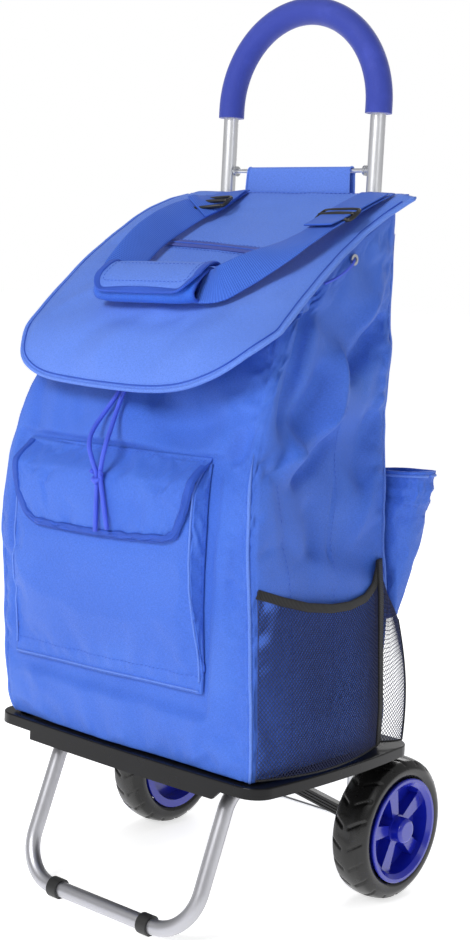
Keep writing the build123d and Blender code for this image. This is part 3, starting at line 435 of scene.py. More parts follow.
def refine(grid, factor, closed):
    """A grid with factor times as many points each way, on smooth curves through the old ones."""
    def along(a, ring):
        n = len(a)
        t = np.arange(n * factor if ring else (n - 1) * factor + 1) / factor
        i = np.minimum(t.astype(int), n - 1 if ring else n - 2)
        f = (t - i).reshape(-1, *([1] * (a.ndim - 1)))
        pick = (lambda k: a[k % n]) if ring else (lambda k: a[np.clip(k, 0, n - 1)])
        return between(pick(i - 1), pick(i), pick(i + 1), pick(i + 2), f)
    rows = along(grid, False)
    return along(rows.swapaxes(0, 1), closed).swapaxes(0, 1)


def grid_normals(grid, closed):
    if closed:
        du = np.roll(grid, -1, axis=1) - np.roll(grid, 1, axis=1)
    else:
        du = np.gradient(grid, axis=1)
    n = np.cross(du, np.gradient(grid, axis=0))
    return n / np.maximum(np.linalg.norm(n, axis=-1, keepdims=True), 1e-9)


CREASE_TIP = 1.8


def press(grid, normals, line, depth, width, ends=(0.0, 0.0), crisp=False):
    """Moves a grid along its normals near a line: a ridge, or a valley with a negative depth."""
    p = grid.reshape(-1, 3)
    line = spline(line, 24)
    best = np.full(len(p), 1e9)
    where = np.zeros(len(p))
    for k, (a, b) in enumerate(zip(line, line[1:])):
        ab = b - a
        t = np.clip((p - a) @ ab / (ab @ ab), 0, 1)
        d = np.linalg.norm(p - a - t[:, None] * ab, axis=1)
        near = d < best
        best = np.where(near, d, best)
        where = np.where(near, (k + t) / (len(line) - 1), where)
    start = ends[0] + (1 - ends[0]) * smooth_step(where, 0, 0.25)
    stop = ends[1] + (1 - ends[1]) * smooth_step(1 - where, 0, 0.25)
    fall = -np.hypot(best, CREASE_TIP) / width if crisp else -((best / width) ** 2)
    share = np.exp(fall) * start * stop
    return grid + normals * (depth * share).reshape(*grid.shape[:2], 1)


def ripple(grid, normals, size, depth, seed):
    """Moves a grid along its normals by smooth noise of a given size."""
    flat = grid.reshape(-1, 3) / size + seed
    lift = np.array([noise.noise(p) for p in flat])
    return grid + normals * (depth * lift).reshape(*grid.shape[:2], 1)


def lay_on(points, grid, normals):
    """Moves points onto a grid's surface along its normals, and gives those normals."""
    flat, ups = grid.reshape(-1, 3), normals.reshape(-1, 3)
    near = np.array([np.argmin(((flat - p) ** 2).sum(axis=1)) for p in points])
    up = ups[near]
    return points + up * ((flat[near] - points) * up).sum(axis=1, keepdims=True), up


def inward_of(edge, out, middle):
    """Directions square to an edge, in the surface, that point to its inside."""
    inward = unit(np.cross(unit(np.gradient(edge, axis=0)), out))
    return inward * np.sign((inward * (middle - edge)).sum(axis=1, keepdims=True))


def free_edge(grid, skip=0):
    """A sheet's two sides and its last row as one line, without its first few rows."""
    return np.concatenate([grid[skip:, 0], grid[-1, 1:], grid[::-1, -1][1:len(grid) - skip]])


def new_piece(name, verts, faces, corner_uv, look):
    """A mesh object from points in millimetres."""
    mesh = bpy.data.meshes.new(name)
    mesh.from_pydata((np.array(verts, float) * MM).tolist(), [], faces)
    if corner_uv is not None:
        layer = mesh.uv_layers.new(name="UVMap")
        flat = (np.array(corner_uv, float) * MM).astype(np.float32).ravel()
        layer.data.foreach_set("uv", flat)
    mesh.polygons.foreach_set("use_smooth", [True] * len(mesh.polygons))
    mesh.materials.append(MATERIALS[look])
    piece = bpy.data.objects.new(name, mesh)
    SCENE.collection.objects.link(piece)
    return piece


def grid_piece(name, grid, look, closed=False, thickness=0.0, flip=False):
    """A sheet from a grid of points, with UVs in metres along and across the cloth."""
    rows, cols = grid.shape[:2]
    wrap = np.concatenate([grid, grid[:, :1]], axis=1) if closed else grid
    steps_u = np.linalg.norm(np.diff(wrap, axis=1), axis=2).mean(axis=0)
    steps_v = np.linalg.norm(np.diff(grid, axis=0), axis=2).mean(axis=1)
    u = np.concatenate([[0], np.cumsum(steps_u)])
    v = np.concatenate([[0], np.cumsum(steps_v)])
    faces, uvs = [], []
    for r in range(rows - 1):
        for c in range(cols if closed else cols - 1):
            d = (c + 1) % cols
            face = [r * cols + c, r * cols + d, (r + 1) * cols + d, (r + 1) * cols + c]
            corner = [(u[c], v[r]), (u[c + 1], v[r]), (u[c + 1], v[r + 1]), (u[c], v[r + 1])]
            faces.append(face[::-1] if flip else face)
            uvs.extend(corner[::-1] if flip else corner)
    piece = new_piece(name, grid.reshape(-1, 3), faces, uvs, look)
    if thickness:
        solid = piece.modifiers.new("thickness", "SOLIDIFY")
        solid.thickness = thickness * MM
        solid.offset = -1
        apply_modifiers(piece)
    return piece


def apply_modifiers(piece):
    """Replaces a piece's mesh by what its modifiers make of it."""
    bpy.context.view_layer.update()
    shown = piece.evaluated_get(bpy.context.evaluated_depsgraph_get())
    mesh = bpy.data.meshes.new_from_object(shown)
    old = piece.data
    piece.modifiers.clear()
    piece.data = mesh
    mesh.name = old.name
    bpy.data.meshes.remove(old)


ANY_WAY = (0.13, 0.21, 0.97)


def frames_along(path):
    """Tangent and two side directions at each point, carried along without twist."""
    path = np.array(path, float)
    tangent = unit(np.gradient(path, axis=0))
    side = np.cross(tangent[0], ANY_WAY)
    sides = []
    for t in tangent:
        side = side - t * (side @ t)
        side = side / np.linalg.norm(side)
        sides.append(side)
    sides = np.array(sides)
    return tangent, sides, np.cross(tangent, sides)


def tube_grid(path, radius, count=10, flat=1.0, sides=None):
    """Rings round a path. flat squeezes them along the second side direction."""
    path = np.array(path, float)
    tangent, first, second = frames_along(path)
    if sides is not None:
        second = np.array(sides, float)
        second -= tangent * (second * tangent).sum(axis=1, keepdims=True)
        second = unit(second)
        first = np.cross(second, tangent)
    angle = np.linspace(0, 2 * math.pi, count, endpoint=False)
    radius = np.broadcast_to(np.asarray(radius, float), (len(path),))[:, None, None]
    ring = first[:, None] * np.cos(angle)[None, :, None]
    ring = ring + flat * second[:, None] * np.sin(angle)[None, :, None]
    return path[:, None] + radius * ring


def ring_faces(rows, cols, run, across, turned):
    """Quads and UVs round rows of points; turned quads run along the path first."""
    faces, uvs = [], []
    for r in range(rows - 1):
        for c in range(cols):
            d = (c + 1) % cols
            face = [r * cols + c, r * cols + d, (r + 1) * cols + d, (r + 1) * cols + c]
            corner = [(run[r], across[c]), (run[r], across[c + 1]),
                      (run[r + 1], across[c + 1]), (run[r + 1], across[c])]
            faces.append(face[:1] + face[:0:-1] if turned else face)
            uvs.extend(corner[:1] + corner[:0:-1] if turned else corner)
    return faces, uvs


def tube_piece(name, path, radius, look, count=10, flat=1.0, sides=None):
    """A capped tube along a path, with UVs along its length."""
    grid = tube_grid(path, radius, count, flat, sides)
    rows, cols = grid.shape[:2]
    run = lengths(np.array(path, float))
    girth = 2 * math.pi * float(np.max(radius)) / count
    faces, uvs = ring_faces(rows, cols, run, [c * girth for c in range(cols + 1)], True)
    for ring, turn in ((0, 1), (rows - 1, -1)):
        faces.append([ring * cols + c for c in range(cols)][::turn])
        uvs.extend([(run[ring], 0)] * cols)
    return new_piece(name, grid.reshape(-1, 3), faces, uvs, look)


def join_pieces(name, parts):
    """One object from several, keeping UVs and the first one's material."""
    chosen = {"active_object": parts[0], "selected_editable_objects": parts, "selected_objects": parts}
    with bpy.context.temp_override(**chosen):
        bpy.ops.object.join()
    parts[0].name = name
    parts[0].data.name = name
    return parts[0]


def ribbon_piece(name, path, normals, half_width, thickness, look, bow=0.0):
    """A flat band along a path, square to the normals, with rounded edges."""
    path = np.array(path, float)
    normals = np.array(normals, float)
    tangent = unit(np.gradient(path, axis=0))
    normals = unit(normals - tangent * (normals * tangent).sum(axis=1, keepdims=True))
    across = np.cross(tangent, normals)
    half = np.broadcast_to(np.asarray(half_width, float), (len(path),))
    shares = np.array([-1, -0.97, -0.85, -0.6, -0.3, 0, 0.3, 0.6, 0.85, 0.97, 1])
    lift = thickness / 2 * np.array([0.25, 0.75, 1, 1, 1, 1, 1, 1, 1, 0.75, 0.25])
    section = [(s, h + bow * (1 - s * s)) for s, h in zip(shares, lift)]
    section += [(s, -h + bow * (1 - s * s)) for s, h in zip(shares[::-1], lift[::-1])]
    grid = np.stack([path + across * half[:, None] * s + normals * h for s, h in section], axis=1)
    rows, cols = grid.shape[:2]
    run = lengths(path)
    wide = [s * float(half.max()) for s, _ in section]
    faces, uvs = ring_faces(rows, cols, run, wide + wide[:1], False)
    for ring, turn in ((0, -1), (rows - 1, 1)):
        faces.append([ring * cols + c for c in range(cols)][::turn])
        uvs.extend([(run[ring], wide[c]) for c in range(cols)][::turn])
    return new_piece(name, grid.reshape(-1, 3), faces, uvs, look)


def stitches(name, path, normals, length, gap, radius):
    """A row of short raised threads along a path."""
    path = np.array(path, float)
    normals = np.broadcast_to(np.array(normals, float), path.shape)
    run = lengths(path)
    sides, lift = 6, 0.25
    verts, faces, uvs = [], [], []
    at = gap
    while at + length < run[-1]:
        spots = np.array([at, at + length * 0.25, at + length * 0.75, at + length])
        line = np.stack([np.interp(spots, run, path[:, k]) for k in range(3)], axis=1)
        up = np.stack([np.interp(spots, run, normals[:, k]) for k in range(3)], axis=1)
        line = line + up * (np.array([0.0, lift, lift, 0.0])[:, None])
        grid = tube_grid(line, [radius * 0.5, radius, radius, radius * 0.5], sides)
        base = len(verts)
        verts.extend(grid.reshape(-1, 3).tolist())
        around, _ = ring_faces(4, sides, np.zeros(4), np.zeros(sides + 1), True)
        around += [list(range(sides)), list(range(4 * sides - 1, 3 * sides - 1, -1))]
        faces.extend([base + k for k in face] for face in around)
        uvs.extend([(0, 0)] * sum(len(face) for face in around))
        at += length + gap
    return new_piece(name, verts, faces, uvs, "stitch")


CLOTH_FRAMES = 20


def simulate(grid, closed, pins, pressure, grow, cap, bending):
    """Runs a short cloth simulation on a grid and gives the moved grid, no point more than cap away."""
    piece = grid_piece("cloth_run", grid, "bag", closed)
    group = piece.vertex_groups.new(name="pins")
    for index, weight in enumerate(pins.reshape(-1)):
        group.add([index], float(weight), "REPLACE")
    cloth = piece.modifiers.new("cloth", "CLOTH")
    settings = cloth.settings
    settings.vertex_group_mass = "pins"
    settings.quality = 6
    settings.mass = 0.15
    settings.tension_stiffness = 15
    settings.compression_stiffness = 15
    settings.shear_stiffness = 8
    settings.bending_stiffness = bending
    settings.use_pressure = True
    settings.uniform_pressure_force = pressure
    settings.shrink_min = -grow
    settings.effector_weights.gravity = 0.0
    cloth.collision_settings.use_collision = False
    cloth.point_cache.frame_start = 1
    cloth.point_cache.frame_end = CLOTH_FRAMES
    for step in range(1, CLOTH_FRAMES + 1):
        SCENE.frame_set(step)
    shown = piece.evaluated_get(bpy.context.evaluated_depsgraph_get())
    co = np.zeros(len(piece.data.vertices) * 3, np.float32)
    shown.data.vertices.foreach_get("co", co)
    SCENE.frame_set(1)
    moved = co.reshape(grid.shape).astype(float) / MM
    bpy.data.objects.remove(piece)
    shift = moved - grid
    size = np.linalg.norm(shift, axis=-1, keepdims=True)
    return grid + shift * np.tanh(size / cap) * cap / np.maximum(size, 1e-6)


def soft(piece, body="frame", nodes=()):
    """A soft piece: it rides on a body, hides the CAD nodes it replaces and gets its own mesh."""
    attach(piece, body)
    if nodes:
        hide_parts(*nodes)
    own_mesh(piece)
    return piece


make_camera()
make_surroundings()

# ---------------------------------------------------------------- bag body
# Height, left x, right x, front y, back y of the bag's walls, in millimetres.
BAG_SECTIONS = np.array([
    (166, -163, 166, -141, 66), (178, -172, 170, -145, 67), (215, -178, 170, -147, 68),
    (270, -184, 166, -148, 70), (330, -189, 162, -149, 72), (380, -192, 156, -149, 73),
    (430, -191, 152, -147, 74), (460, -187, 149, -144, 74), (500, -180, 147, -135, 74),
    (540, -172, 146, -121, 74), (590, -164, 145, -93, 74), (640, -158, 145, -64, 74),
    (690, -151, 145, -37, 74), (745, -146, 144, -8, 74)], float)
# The height of the bag's slanted mouth at each y.
MOUTH = np.array([
    (-160, 566), (-120, 586), (-91, 612), (-48, 648), (-1, 681), (40, 706), (76, 729), (90, 738)], float)
FRONT_COLS, CORNER_COLS, SIDE_COLS, BACK_COLS = 38, 3, 26, 24
FRONT_CORNER, BACK_CORNER = 9.0, 14.0


def section(z):
    """The bag's four walls at each height, smoothed."""
    z = np.atleast_1d(z)
    out = np.zeros((len(z), 4))
    for k in range(4):
        for shift in (-14, -7, 0, 7, 14):
            out[:, k] += np.interp(z + shift, BAG_SECTIONS[:, 0], BAG_SECTIONS[:, k + 1]) / 5
    return out


def ring_columns():
    """For each column of the bag's wall: the wall or corner it is on, and how far along that."""
    spans = [
        (FRONT_COLS, "front"), (CORNER_COLS, "front_right"), (SIDE_COLS, "right"),
        (CORNER_COLS, "back_right"), (BACK_COLS, "back"), (CORNER_COLS, "back_left"),
        (SIDE_COLS, "left"), (CORNER_COLS, "front_left")]
    return [(kind, k / count) for count, kind in spans for k in range(count)]


COLUMNS = ring_columns()
# The first column of each wall and corner.
COLUMN_AT = {kind: c for c, (kind, _) in reversed(list(enumerate(COLUMNS)))}
FRONT_BOW = 4.0


def ring_point(kind, t, walls):
    """One column's x and y on walls given as rows of left, right, front and back."""
    left, right, front, back = walls.T
    f, b = FRONT_CORNER, BACK_CORNER
    corners = {
        "front_right": (right - f, front + f, f, -90),
        "back_right": (right - b, back - b, b, 0),
        "back_left": (left + b, back - b, b, 90),
        "front_left": (left + f, front + f, f, 180),
    }
    if kind in corners:
        x, y, r, start = corners[kind]
        angle = math.radians(start + 90 * t)
        return x + r * math.cos(angle), y + r * math.sin(angle)
    if kind == "front":
        return left + f + (right - left - 2 * f) * t, front - FRONT_BOW * math.sin(math.pi * t)
    if kind == "right":
        return right, front + f + (back - front - f - b) * t
    if kind == "back":
        return right - b + (left - right + 2 * b) * t, back
    return left, back - b + (front - back + f + b) * t


BAG_ROWS = 66
PLEAT = [
    (146, -62, 634), (147, -75, 599), (147, -83, 573), (148, -88, 543), (149, -99, 513), (150, -109, 488)]
CORNER_FOLD = [
    (147, -16, 596), (148, -20, 572), (148, -20, 548), (149, -26, 519), (150, -50, 497), (150, -81, 480),
    (151, -103, 469), (151, -128, 466)]
# Each fold's line, its height along the normals, its width, how much of it the two ends keep, and
# whether it comes to a crease.
BAG_FOLDS = [
    # the front right corner's pleat: a wide hollow with a crease in it, and a facet behind
    (PLEAT, -10.0, 9.0, (1, 0), False),
    (PLEAT, -9.0, 4.6, (0.15, 0), True),
    ([(146, -50, 632), (147, -64, 596), (147, -73, 570), (148, -79, 542), (149, -90, 512)],
     6.0, 6.5, (0.15, 0), True),
    # the curved fold that leads into the corner, and the hollows round it
    (CORNER_FOLD, 18.0, 9.0, (0.1, 0.1), True),
    ([(147, -44, 576), (148, -48, 548), (149, -62, 522), (150, -86, 500)], -12.0, 13.0, (0.3, 0), False),
    ([(150, -6, 506), (150, -34, 480), (151, -62, 463), (152, -94, 450)], -11.0, 9.0, (0, 0.2), False),
    ([(146, 52, 610), (147, 26, 580), (148, 0, 558), (148, -8, 540)], -15.0, 10.0, (0.6, 0), False),
    ([(146, 44, 640), (147, 16, 604), (148, -4, 578)], 11.0, 8.0, (0.5, 0), True),
    ([(146, 70, 600), (148, 58, 560), (149, 54, 510)], 7.0, 9.0, (0.2, 0), True),
    ([(148, -20, 560), (149, -15, 513), (150, -10, 454), (155, -12, 418)], -2.5, 4.0, (0, 0), True),
    ([(150, -110, 452), (152, -104, 420), (154, -98, 382)], -4.0, 7.0, (1, 0), True),
    ([(151, -124, 452), (153, -118, 415), (155, -112, 370)], 4.5, 8.0, (1, 0), True),
    ([(148, 48, 540), (149, 40, 500), (150, 30, 470), (152, 34, 420)], -9.0, 15.0, (0.2, 0), False),
    ([(151, 60, 470), (153, 30, 420), (156, 10, 375)], 8.0, 12.0, (0, 0), True),
    ([(151, -60, 440), (153, -50, 410), (156, -56, 370)], -5.0, 12.0, (0, 0), False),
    # the front, under the lid
    ([(-8, -118, 548), (30, -131, 508), (70, -133, 500), (104, -122, 528)], -14.0, 24.0, (0.4, 0.2), False),
    ([(-148, -112, 545), (-148, -125, 520), (-147, -133, 497), (-143, -143, 466)], -8.0, 8.0, (1, 0), False),
    ([(-126, -112, 545), (-124, -125, 520), (-120, -133, 497), (-113, -143, 466)], 7.0, 8.0, (1, 0), True),
    ([(-96, -112, 545), (-88, -126, 515), (-74, -138, 482)], -7.0, 9.0, (1, 0), False),
    ([(-47, -112, 550), (-52, -126, 515), (-56, -138, 482)], 6.0, 8.0, (1, 0), True),
    ([(-14, -112, 550), (-4, -126, 518), (16, -138, 482)], 6.0, 9.0, (1, 0), True),
    ([(143, -126, 512), (122, -142, 472), (108, -146, 452)], -7.0, 10.0, (0, 0), False),
    ([(150, -142, 420), (140, -149, 380), (134, -149, 330)], -4.0, 9.0, (0, 0), False),
    ([(141, -149, 400), (128, -149, 365), (134, -149, 300)], 4.0, 8.0, (0, 0), True),
    ([(-170, -149, 300), (-120, -151, 214), (-60, -151, 200)], 2.5, 10.0, (0, 0), True),
    ([(120, -151, 240), (96, -151, 210), (40, -151, 196)], 2.5, 10.0, (0, 0), True),
    # the left side
    ([(-160, -40, 640), (-168, -44, 560), (-180, -40, 480), (-190, -44, 400)], -9.0, 12.0, (1, 0), False),
    ([(-160, 10, 660), (-168, 4, 580), (-180, 8, 500)], 7.0, 13.0, (1, 0), True),
    ([(-166, -86, 590), (-178, -92, 520), (-188, -90, 440)], 7.0, 13.0, (1, 0), True),
    ([(-176, 40, 520), (-186, 20, 440), (-188, 30, 360)], 6.0, 13.0, (0, 0), True),
]
SEAMS = [
    [(151, -118, 455), (154, -108, 400), (157, -102, 350), (163, -99, 270), (168, -98, 180)],
    [(147, -22, 580), (148, -16, 525), (150, -15, 454), (154, -24, 392), (160, -34, 310), (168, -38, 180)],
]


def bag_grid():
    """The bag's coarse wall, from the deck up to its slanted mouth."""
    grid = np.zeros((BAG_ROWS, len(COLUMNS), 3))
    share = np.linspace(0, 1, BAG_ROWS) ** 0.96
    for c, (kind, t) in enumerate(COLUMNS):
        top = np.array([640.0])
        for _ in range(14):
            _, y = ring_point(kind, t, section(top))
            top = 0.5 * top + 0.5 * np.interp(y, MOUTH[:, 0], MOUTH[:, 1])
        z = BAG_SECTIONS[0, 0] + share * (top[0] - BAG_SECTIONS[0, 0])
        x, y = ring_point(kind, t, section(z))
        grid[:, c] = np.stack([x, y, z], axis=1)
    return grid


FINE = 3
BACK_LIMIT, LOW_LIMIT = 77.6, 173.6
POCKET_SPAN_X, POCKET_SPAN_Z = (-160.0, 112.0), (234.0, 472.0)
BAG_THICK, LID_THICK, POCKET_THICK = 1.8, 2.2, 1.6


def make_bag():
    """The bag's cloth, with its folds; gives the finished wall."""
    coarse = bag_grid()
    rows, cols = coarse.shape[:2]
    pins = np.zeros((rows, cols))
    pins[:2] = 1.0
    pins[-2:] = 1.0
    for corner in ("front_right", "front_left", "back_right", "back_left"):
        pins[:, COLUMN_AT[corner]:COLUMN_AT[corner] + CORNER_COLS] = 0.85
    pins[:, COLUMN_AT["back"]:COLUMN_AT["back_left"]] = 0.9
    moved = simulate(coarse, True, pins, 0.3, 0.02, 6.0, 3.0)
    fine = refine(moved, FINE, True)
    # the cloth stands further forward where the front right corner meets the lid
    x, y, z = fine[..., 0], fine[..., 1], fine[..., 2]
    push = 13 * np.exp(-(((z - 600) / 32) ** 2)) * smooth_step(x, 84, 138)
    fine[..., 1] = y - push * (1 - smooth_step(y, -90, -56))
    normals = grid_normals(fine, True)
    fine = ripple(fine, normals, 70.0, 2.6, 3.0)
    fine = ripple(fine, normals, 26.0, 0.9, 11.0)
    for line, depth, width, ends, crisp in BAG_FOLDS:
        fine = press(fine, grid_normals(fine, True), line, depth, width, ends, crisp)
    for seam in SEAMS:
        fine = press(fine, grid_normals(fine, True), seam, -2.6, 2.8, (0.5, 0.5))
    fine[..., 1] = np.minimum(fine[..., 1], BACK_LIMIT)
    fine[..., 2] = np.maximum(fine[..., 2], LOW_LIMIT)
    # behind the front pocket the cloth lies flat
    x, z = fine[..., 0], fine[..., 2]
    inside = window(x, POCKET_SPAN_X, 14, 10) * window(z, POCKET_SPAN_Z, 14, 8)
    flat = bag_front(x.ravel(), z.ravel()).reshape(x.shape) + 1.2
    front = fine[..., 1] < -60
    settled = np.maximum(fine[..., 1], flat)
    fine[..., 1] = np.where(front, fine[..., 1] * (1 - inside) + settled * inside, fine[..., 1])
    # a groove each side of the corner piping
    for kind in ("front_right", "front_left"):
        middle = COLUMN_AT[kind] * FINE + CORNER_COLS * FINE // 2
        for shift in (-4, 4):
            c = (middle + shift) % fine.shape[1]
            fine[:, c] -= normals[:, c] * 1.1
    # the cloth turns in under the bag
    middle = fine[0].mean(axis=0)
    under = [middle + (fine[0] - middle) * (1 - 0.12 * (k + 1)) for k in range(8)]
    whole = np.concatenate([np.array(under[::-1]), fine], axis=0)
    bag = grid_piece("bag_shell", whole, "bag", True, BAG_THICK)
    soft(bag, nodes=("bag_body",))
    return fine


PIPING = [("right", "front_right", 484.0), ("left", "front_left", 484.0), ("back", "back_right", 700.0)]


def make_piping(fine):
    """Corded seams up the bag's corners and stitched seams on its side, on the finished cloth."""
    normals = grid_normals(fine, True)
    for name, kind, high in PIPING:
        c = COLUMN_AT[kind] * FINE + CORNER_COLS * FINE // 2
        line = (fine + normals * 0.5)[:, c]
        low = line[line[:, 2] < high]
        radius = 0.3 + 1.4 * smooth_step(np.linspace(1, 0, 150), 0, 0.12)
        soft(tube_piece("bag_piping_" + name, spline(low[::5], 150), radius, "piping", 8))
    for k, seam in enumerate(SEAMS):
        on, up = lay_on(spline(seam, 60) + (0, 4.0, 0), fine, normals)
        up = spline(up[::6], 60)
        soft(stitches(f"side_stitch_{k}", spline(on[::4], 60) + up * 0.2, up, 3.2, 2.4, 0.3))


# ---------------------------------------------------------------- lid
# The lid's middle line, y and z, from the hinge down to its front edge.
LID_PROFILE = [
    (76, 738), (46, 719.5), (-1, 690), (-48, 660), (-91, 630), (-120, 606), (-141, 586), (-154, 566),
    (-160, 548), (-161, 531)]
LID_TOTAL = 324.0
LID_LINE = spline(LID_PROFILE, 400)
# The x of the lid's two sides, by the length s down its slope.
LID_LEFT = np.array([
    (0, -150), (13, -166), (40, -176), (63, -180), (110, -182), (151, -180), (200, -177), (226, -176),
    (259, -173), (290, -170), (324, -168)], float)
LID_RIGHT = np.array([
    (0, 160), (14.7, 156), (38, 150), (73, 146), (105, 148), (138, 152), (183, 156), (232, 159),
    (274, 158), (324, 157)], float)
# The s of the lid's front edge, by the share of the way from left to right.
LID_END = np.array([
    (0, 268), (0.01, 283), (0.03, 298), (0.07, 310), (0.13, 318.5), (0.2, 321.5), (0.35, 323.5),
    (0.55, 324), (0.66, 321.5), (0.745, 316.5), (0.82, 308.5), (0.88, 299), (0.93, 287), (0.965, 274),
    (0.99, 258), (1, 246)], float)
# Each fold's line in x and s, its height and its width.
LID_FOLDS = [
    ([(-150, 250), (-118, 216), (-80, 196)], 2.4, 12.0),
    ([(-60, 318), (-20, 262), (26, 226)], 2.6, 14.0),
    ([(-100, 312), (-66, 268), (-40, 236)], -2.2, 11.0),
    ([(70, 300), (96, 240), (104, 200)], 2.2, 13.0),
    ([(16, 312), (48, 256), (72, 226)], -2.4, 13.0),
    ([(-168, 120), (-140, 130), (-128, 170)], -2.4, 12.0),
    ([(140, 210), (128, 150), (122, 100)], -2.0, 12.0),
    ([(-60, 246), (0, 252), (50, 236)], -3.0, 12.0),
]


def lid_sides(s):
    """The x of the lid's left and right sides at a length down its slope."""
    left = np.interp(s, LID_LEFT[:, 0], LID_LEFT[:, 1])
    return left, np.interp(s, LID_RIGHT[:, 0], LID_RIGHT[:, 1])


def lid_surface(x, s, lift=0.0):
    """Points on the lid's top for x across and s down its slope, with their normals."""
    x = np.asarray(x, float)
    s = np.asarray(s, float)
    down = np.clip(s / LID_TOTAL, 0, 1)
    at = down * (len(LID_LINE) - 1)
    i = np.minimum(at.astype(int), len(LID_LINE) - 2)
    f = (at - i)[..., None]
    p = LID_LINE[i] * (1 - f) + LID_LINE[i + 1] * f
    t = unit(LID_LINE[np.minimum(i + 6, len(LID_LINE) - 1)] - LID_LINE[np.maximum(i - 6, 0)])
    n = np.stack([t[..., 1], -t[..., 0]], axis=-1)
    left, right = lid_sides(s)
    u = np.clip((x - left) / (right - left), 0, 1)
    crown = 5.5 * np.sin(math.pi * u) ** 0.6 * np.sin(math.pi * down) ** 0.7
    crown += 5.0 * np.exp(-(((u - 0.04) / 0.16) ** 2)) * np.exp(-(((s - 70) / 60) ** 2))
    droop = -3.5 * (smooth_step(np.abs(u - 0.5), 0.44, 0.5))
    point = p + n * (crown + droop + lift)[..., None]
    surface = np.stack([x, point[..., 0], point[..., 1]], axis=-1)
    return surface, np.stack([0 * x, n[..., 0], n[..., 1]], axis=-1)


def on_lid(path, lift=0.0, count=60):
    """A smooth path over the lid from (x, s) points, with the lid's normals."""
    line = spline(path, count)
    return lid_surface(line[:, 0], line[:, 1], lift)


def make_lid():
    """The lid's padded sheet, with its corded edge and its seams."""
    cols, rows = 86, 84
    u = (1 - np.cos(np.linspace(0, math.pi, cols))) / 2 * 0.55 + np.linspace(0, 1, cols) * 0.45
    v = np.linspace(0, 1, rows)
    end = np.interp(u, LID_END[:, 0], LID_END[:, 1])
    for _ in range(14):
        end[1:-1] = 0.5 * end[1:-1] + 0.25 * (end[:-2] + end[2:])
    s = v[:, None] * end[None, :]
    left, right = lid_sides(s)
    x = left + (right - left) * u[None, :]
    grid, normals = lid_surface(x, s)
    grid = ripple(grid, normals, 80.0, 2.4, 21.0)
    grid = ripple(grid, normals, 30.0, 0.7, 33.0)
    for line, depth, width in LID_FOLDS:
        on, _ = on_lid(line, 4.0, 12)
        grid = press(grid, normals, on, depth, width)
    # the cloth's grid runs left to right and down the slope, so its faces are turned to look up
    lid = grid_piece("lid_shell", grid, "lid", False, LID_THICK, True)
    soft(lid, "lid_flap", ("lid",))
    edge, out = spline(free_edge(grid)[::2], 300), spline(free_edge(normals)[::2], 300)
    soft(tube_piece("lid_piping", edge - out * 0.9, 2.3, "piping", 10), "lid_flap")
    inward = inward_of(edge, out, grid[rows // 2 - 2, cols // 2])
    seam, up = lay_on(edge[3:-3] + inward[3:-3] * 4.6, grid, normals)
    seam = spline((seam + up * 0.25)[::4], 260)
    soft(tube_piece("lid_seam", seam, 0.75, "binding", 6), "lid_flap")
    top, up = on_lid([(-88, 2.5), (0, 2.0), (120, 2.5)], 0.3)
    soft(stitches("lid_back_stitch", top, up, 3.4, 2.4, 0.34), "lid_flap")


# The cloth hinge in section, y and z: up the outside of the bag's back to the lid's back edge.
HINGE_SECTION = [
    (76.7, 712), (76.9, 718), (77.0, 724), (77.1, 729), (77.1, 733.5), (76.9, 736.2), (76.4, 737.3)]
HINGE_THICK = 0.7
# The x of the strip's two ends, at its foot and at the lid.
HINGE_LOW, HINGE_HIGH = (-129, 128), (-146, 152)


def make_lid_hinge():
    """The strip of cloth that joins the lid to the bag's back."""
    across = spline(HINGE_SECTION, 24)
    u = np.linspace(0, 1, 60)
    grid = np.zeros((len(across), len(u), 3))
    for row, (y, z) in enumerate(across):
        rise = row / (len(across) - 1)
        left = HINGE_LOW[0] + (HINGE_HIGH[0] - HINGE_LOW[0]) * rise
        right = HINGE_LOW[1] + (HINGE_HIGH[1] - HINGE_LOW[1]) * rise
        grid[row] = np.stack([left + (right - left) * u, 0 * u + y, 0 * u + z], axis=1)
    strip = grid_piece("lid_hinge_cloth", grid, "bag", False, HINGE_THICK)
    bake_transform(strip)


def make_zip():
    """The covered zip across the lid, with a line of stitching each side."""
    path, up = on_lid([(-76, 121), (-5, 127), (70, 134)], 0.9)
    soft(ribbon_piece("lid_zip", path, up, 5.6, 1.6, "zip"), "lid_flap")
    for name, shift in (("above", -8.2), ("below", 8.4)):
        path, up = on_lid([(-78, 121 + shift), (-5, 127 + shift), (72, 134 + shift)], 0.3)
        soft(stitches("zip_stitch_" + name, path, up, 3.2, 2.2, 0.32), "lid_flap")
    path, up = on_lid([(-74, 121), (-5, 127), (68, 134)], 2.0)
    soft(tube_piece("zip_line", path, 0.7, "stitch", 6), "lid_flap")


# ---------------------------------------------------------------- shoulder strap, its grip and buckles
STRAP_HALF, STRAP_THICK, STRAP_POINTS = 18.0, 1.9, 70


def strap_run(name, stops, *nodes):
    """A webbing strap through (x, s, lift, stand) stops; stand turns it up on its edge."""
    line = spline([stop[:3] for stop in stops], STRAP_POINTS)
    point, up = lid_surface(line[:, 0], line[:, 1], line[:, 2])
    at = np.linspace(0, 1, len(stops))
    stand = np.interp(np.linspace(0, 1, STRAP_POINTS), at, [stop[3] for stop in stops])
    across = np.cross(unit(np.gradient(point, axis=0)), up)
    angle = np.radians(stand)[:, None]
    normal = up * np.cos(angle) + across * np.sin(angle)
    strap = ribbon_piece(name, point, normal, STRAP_HALF, STRAP_THICK, "webbing")
    soft(strap, "lid_flap", nodes)


BUCKLE_WIDE, BUCKLE_DEEP = 21.5, 11.0
# The buckle's outline, in shares of its half width and half depth.
BUCKLE_RING = [
    (-1, -0.6), (-0.85, -1), (0, -1.04), (0.85, -1), (1, -0.6), (1.02, 0), (1, 0.6), (0.85, 1),
    (0, 1.04), (-0.85, 1), (-1, 0.6), (-1.02, 0), (-1, -0.6)]


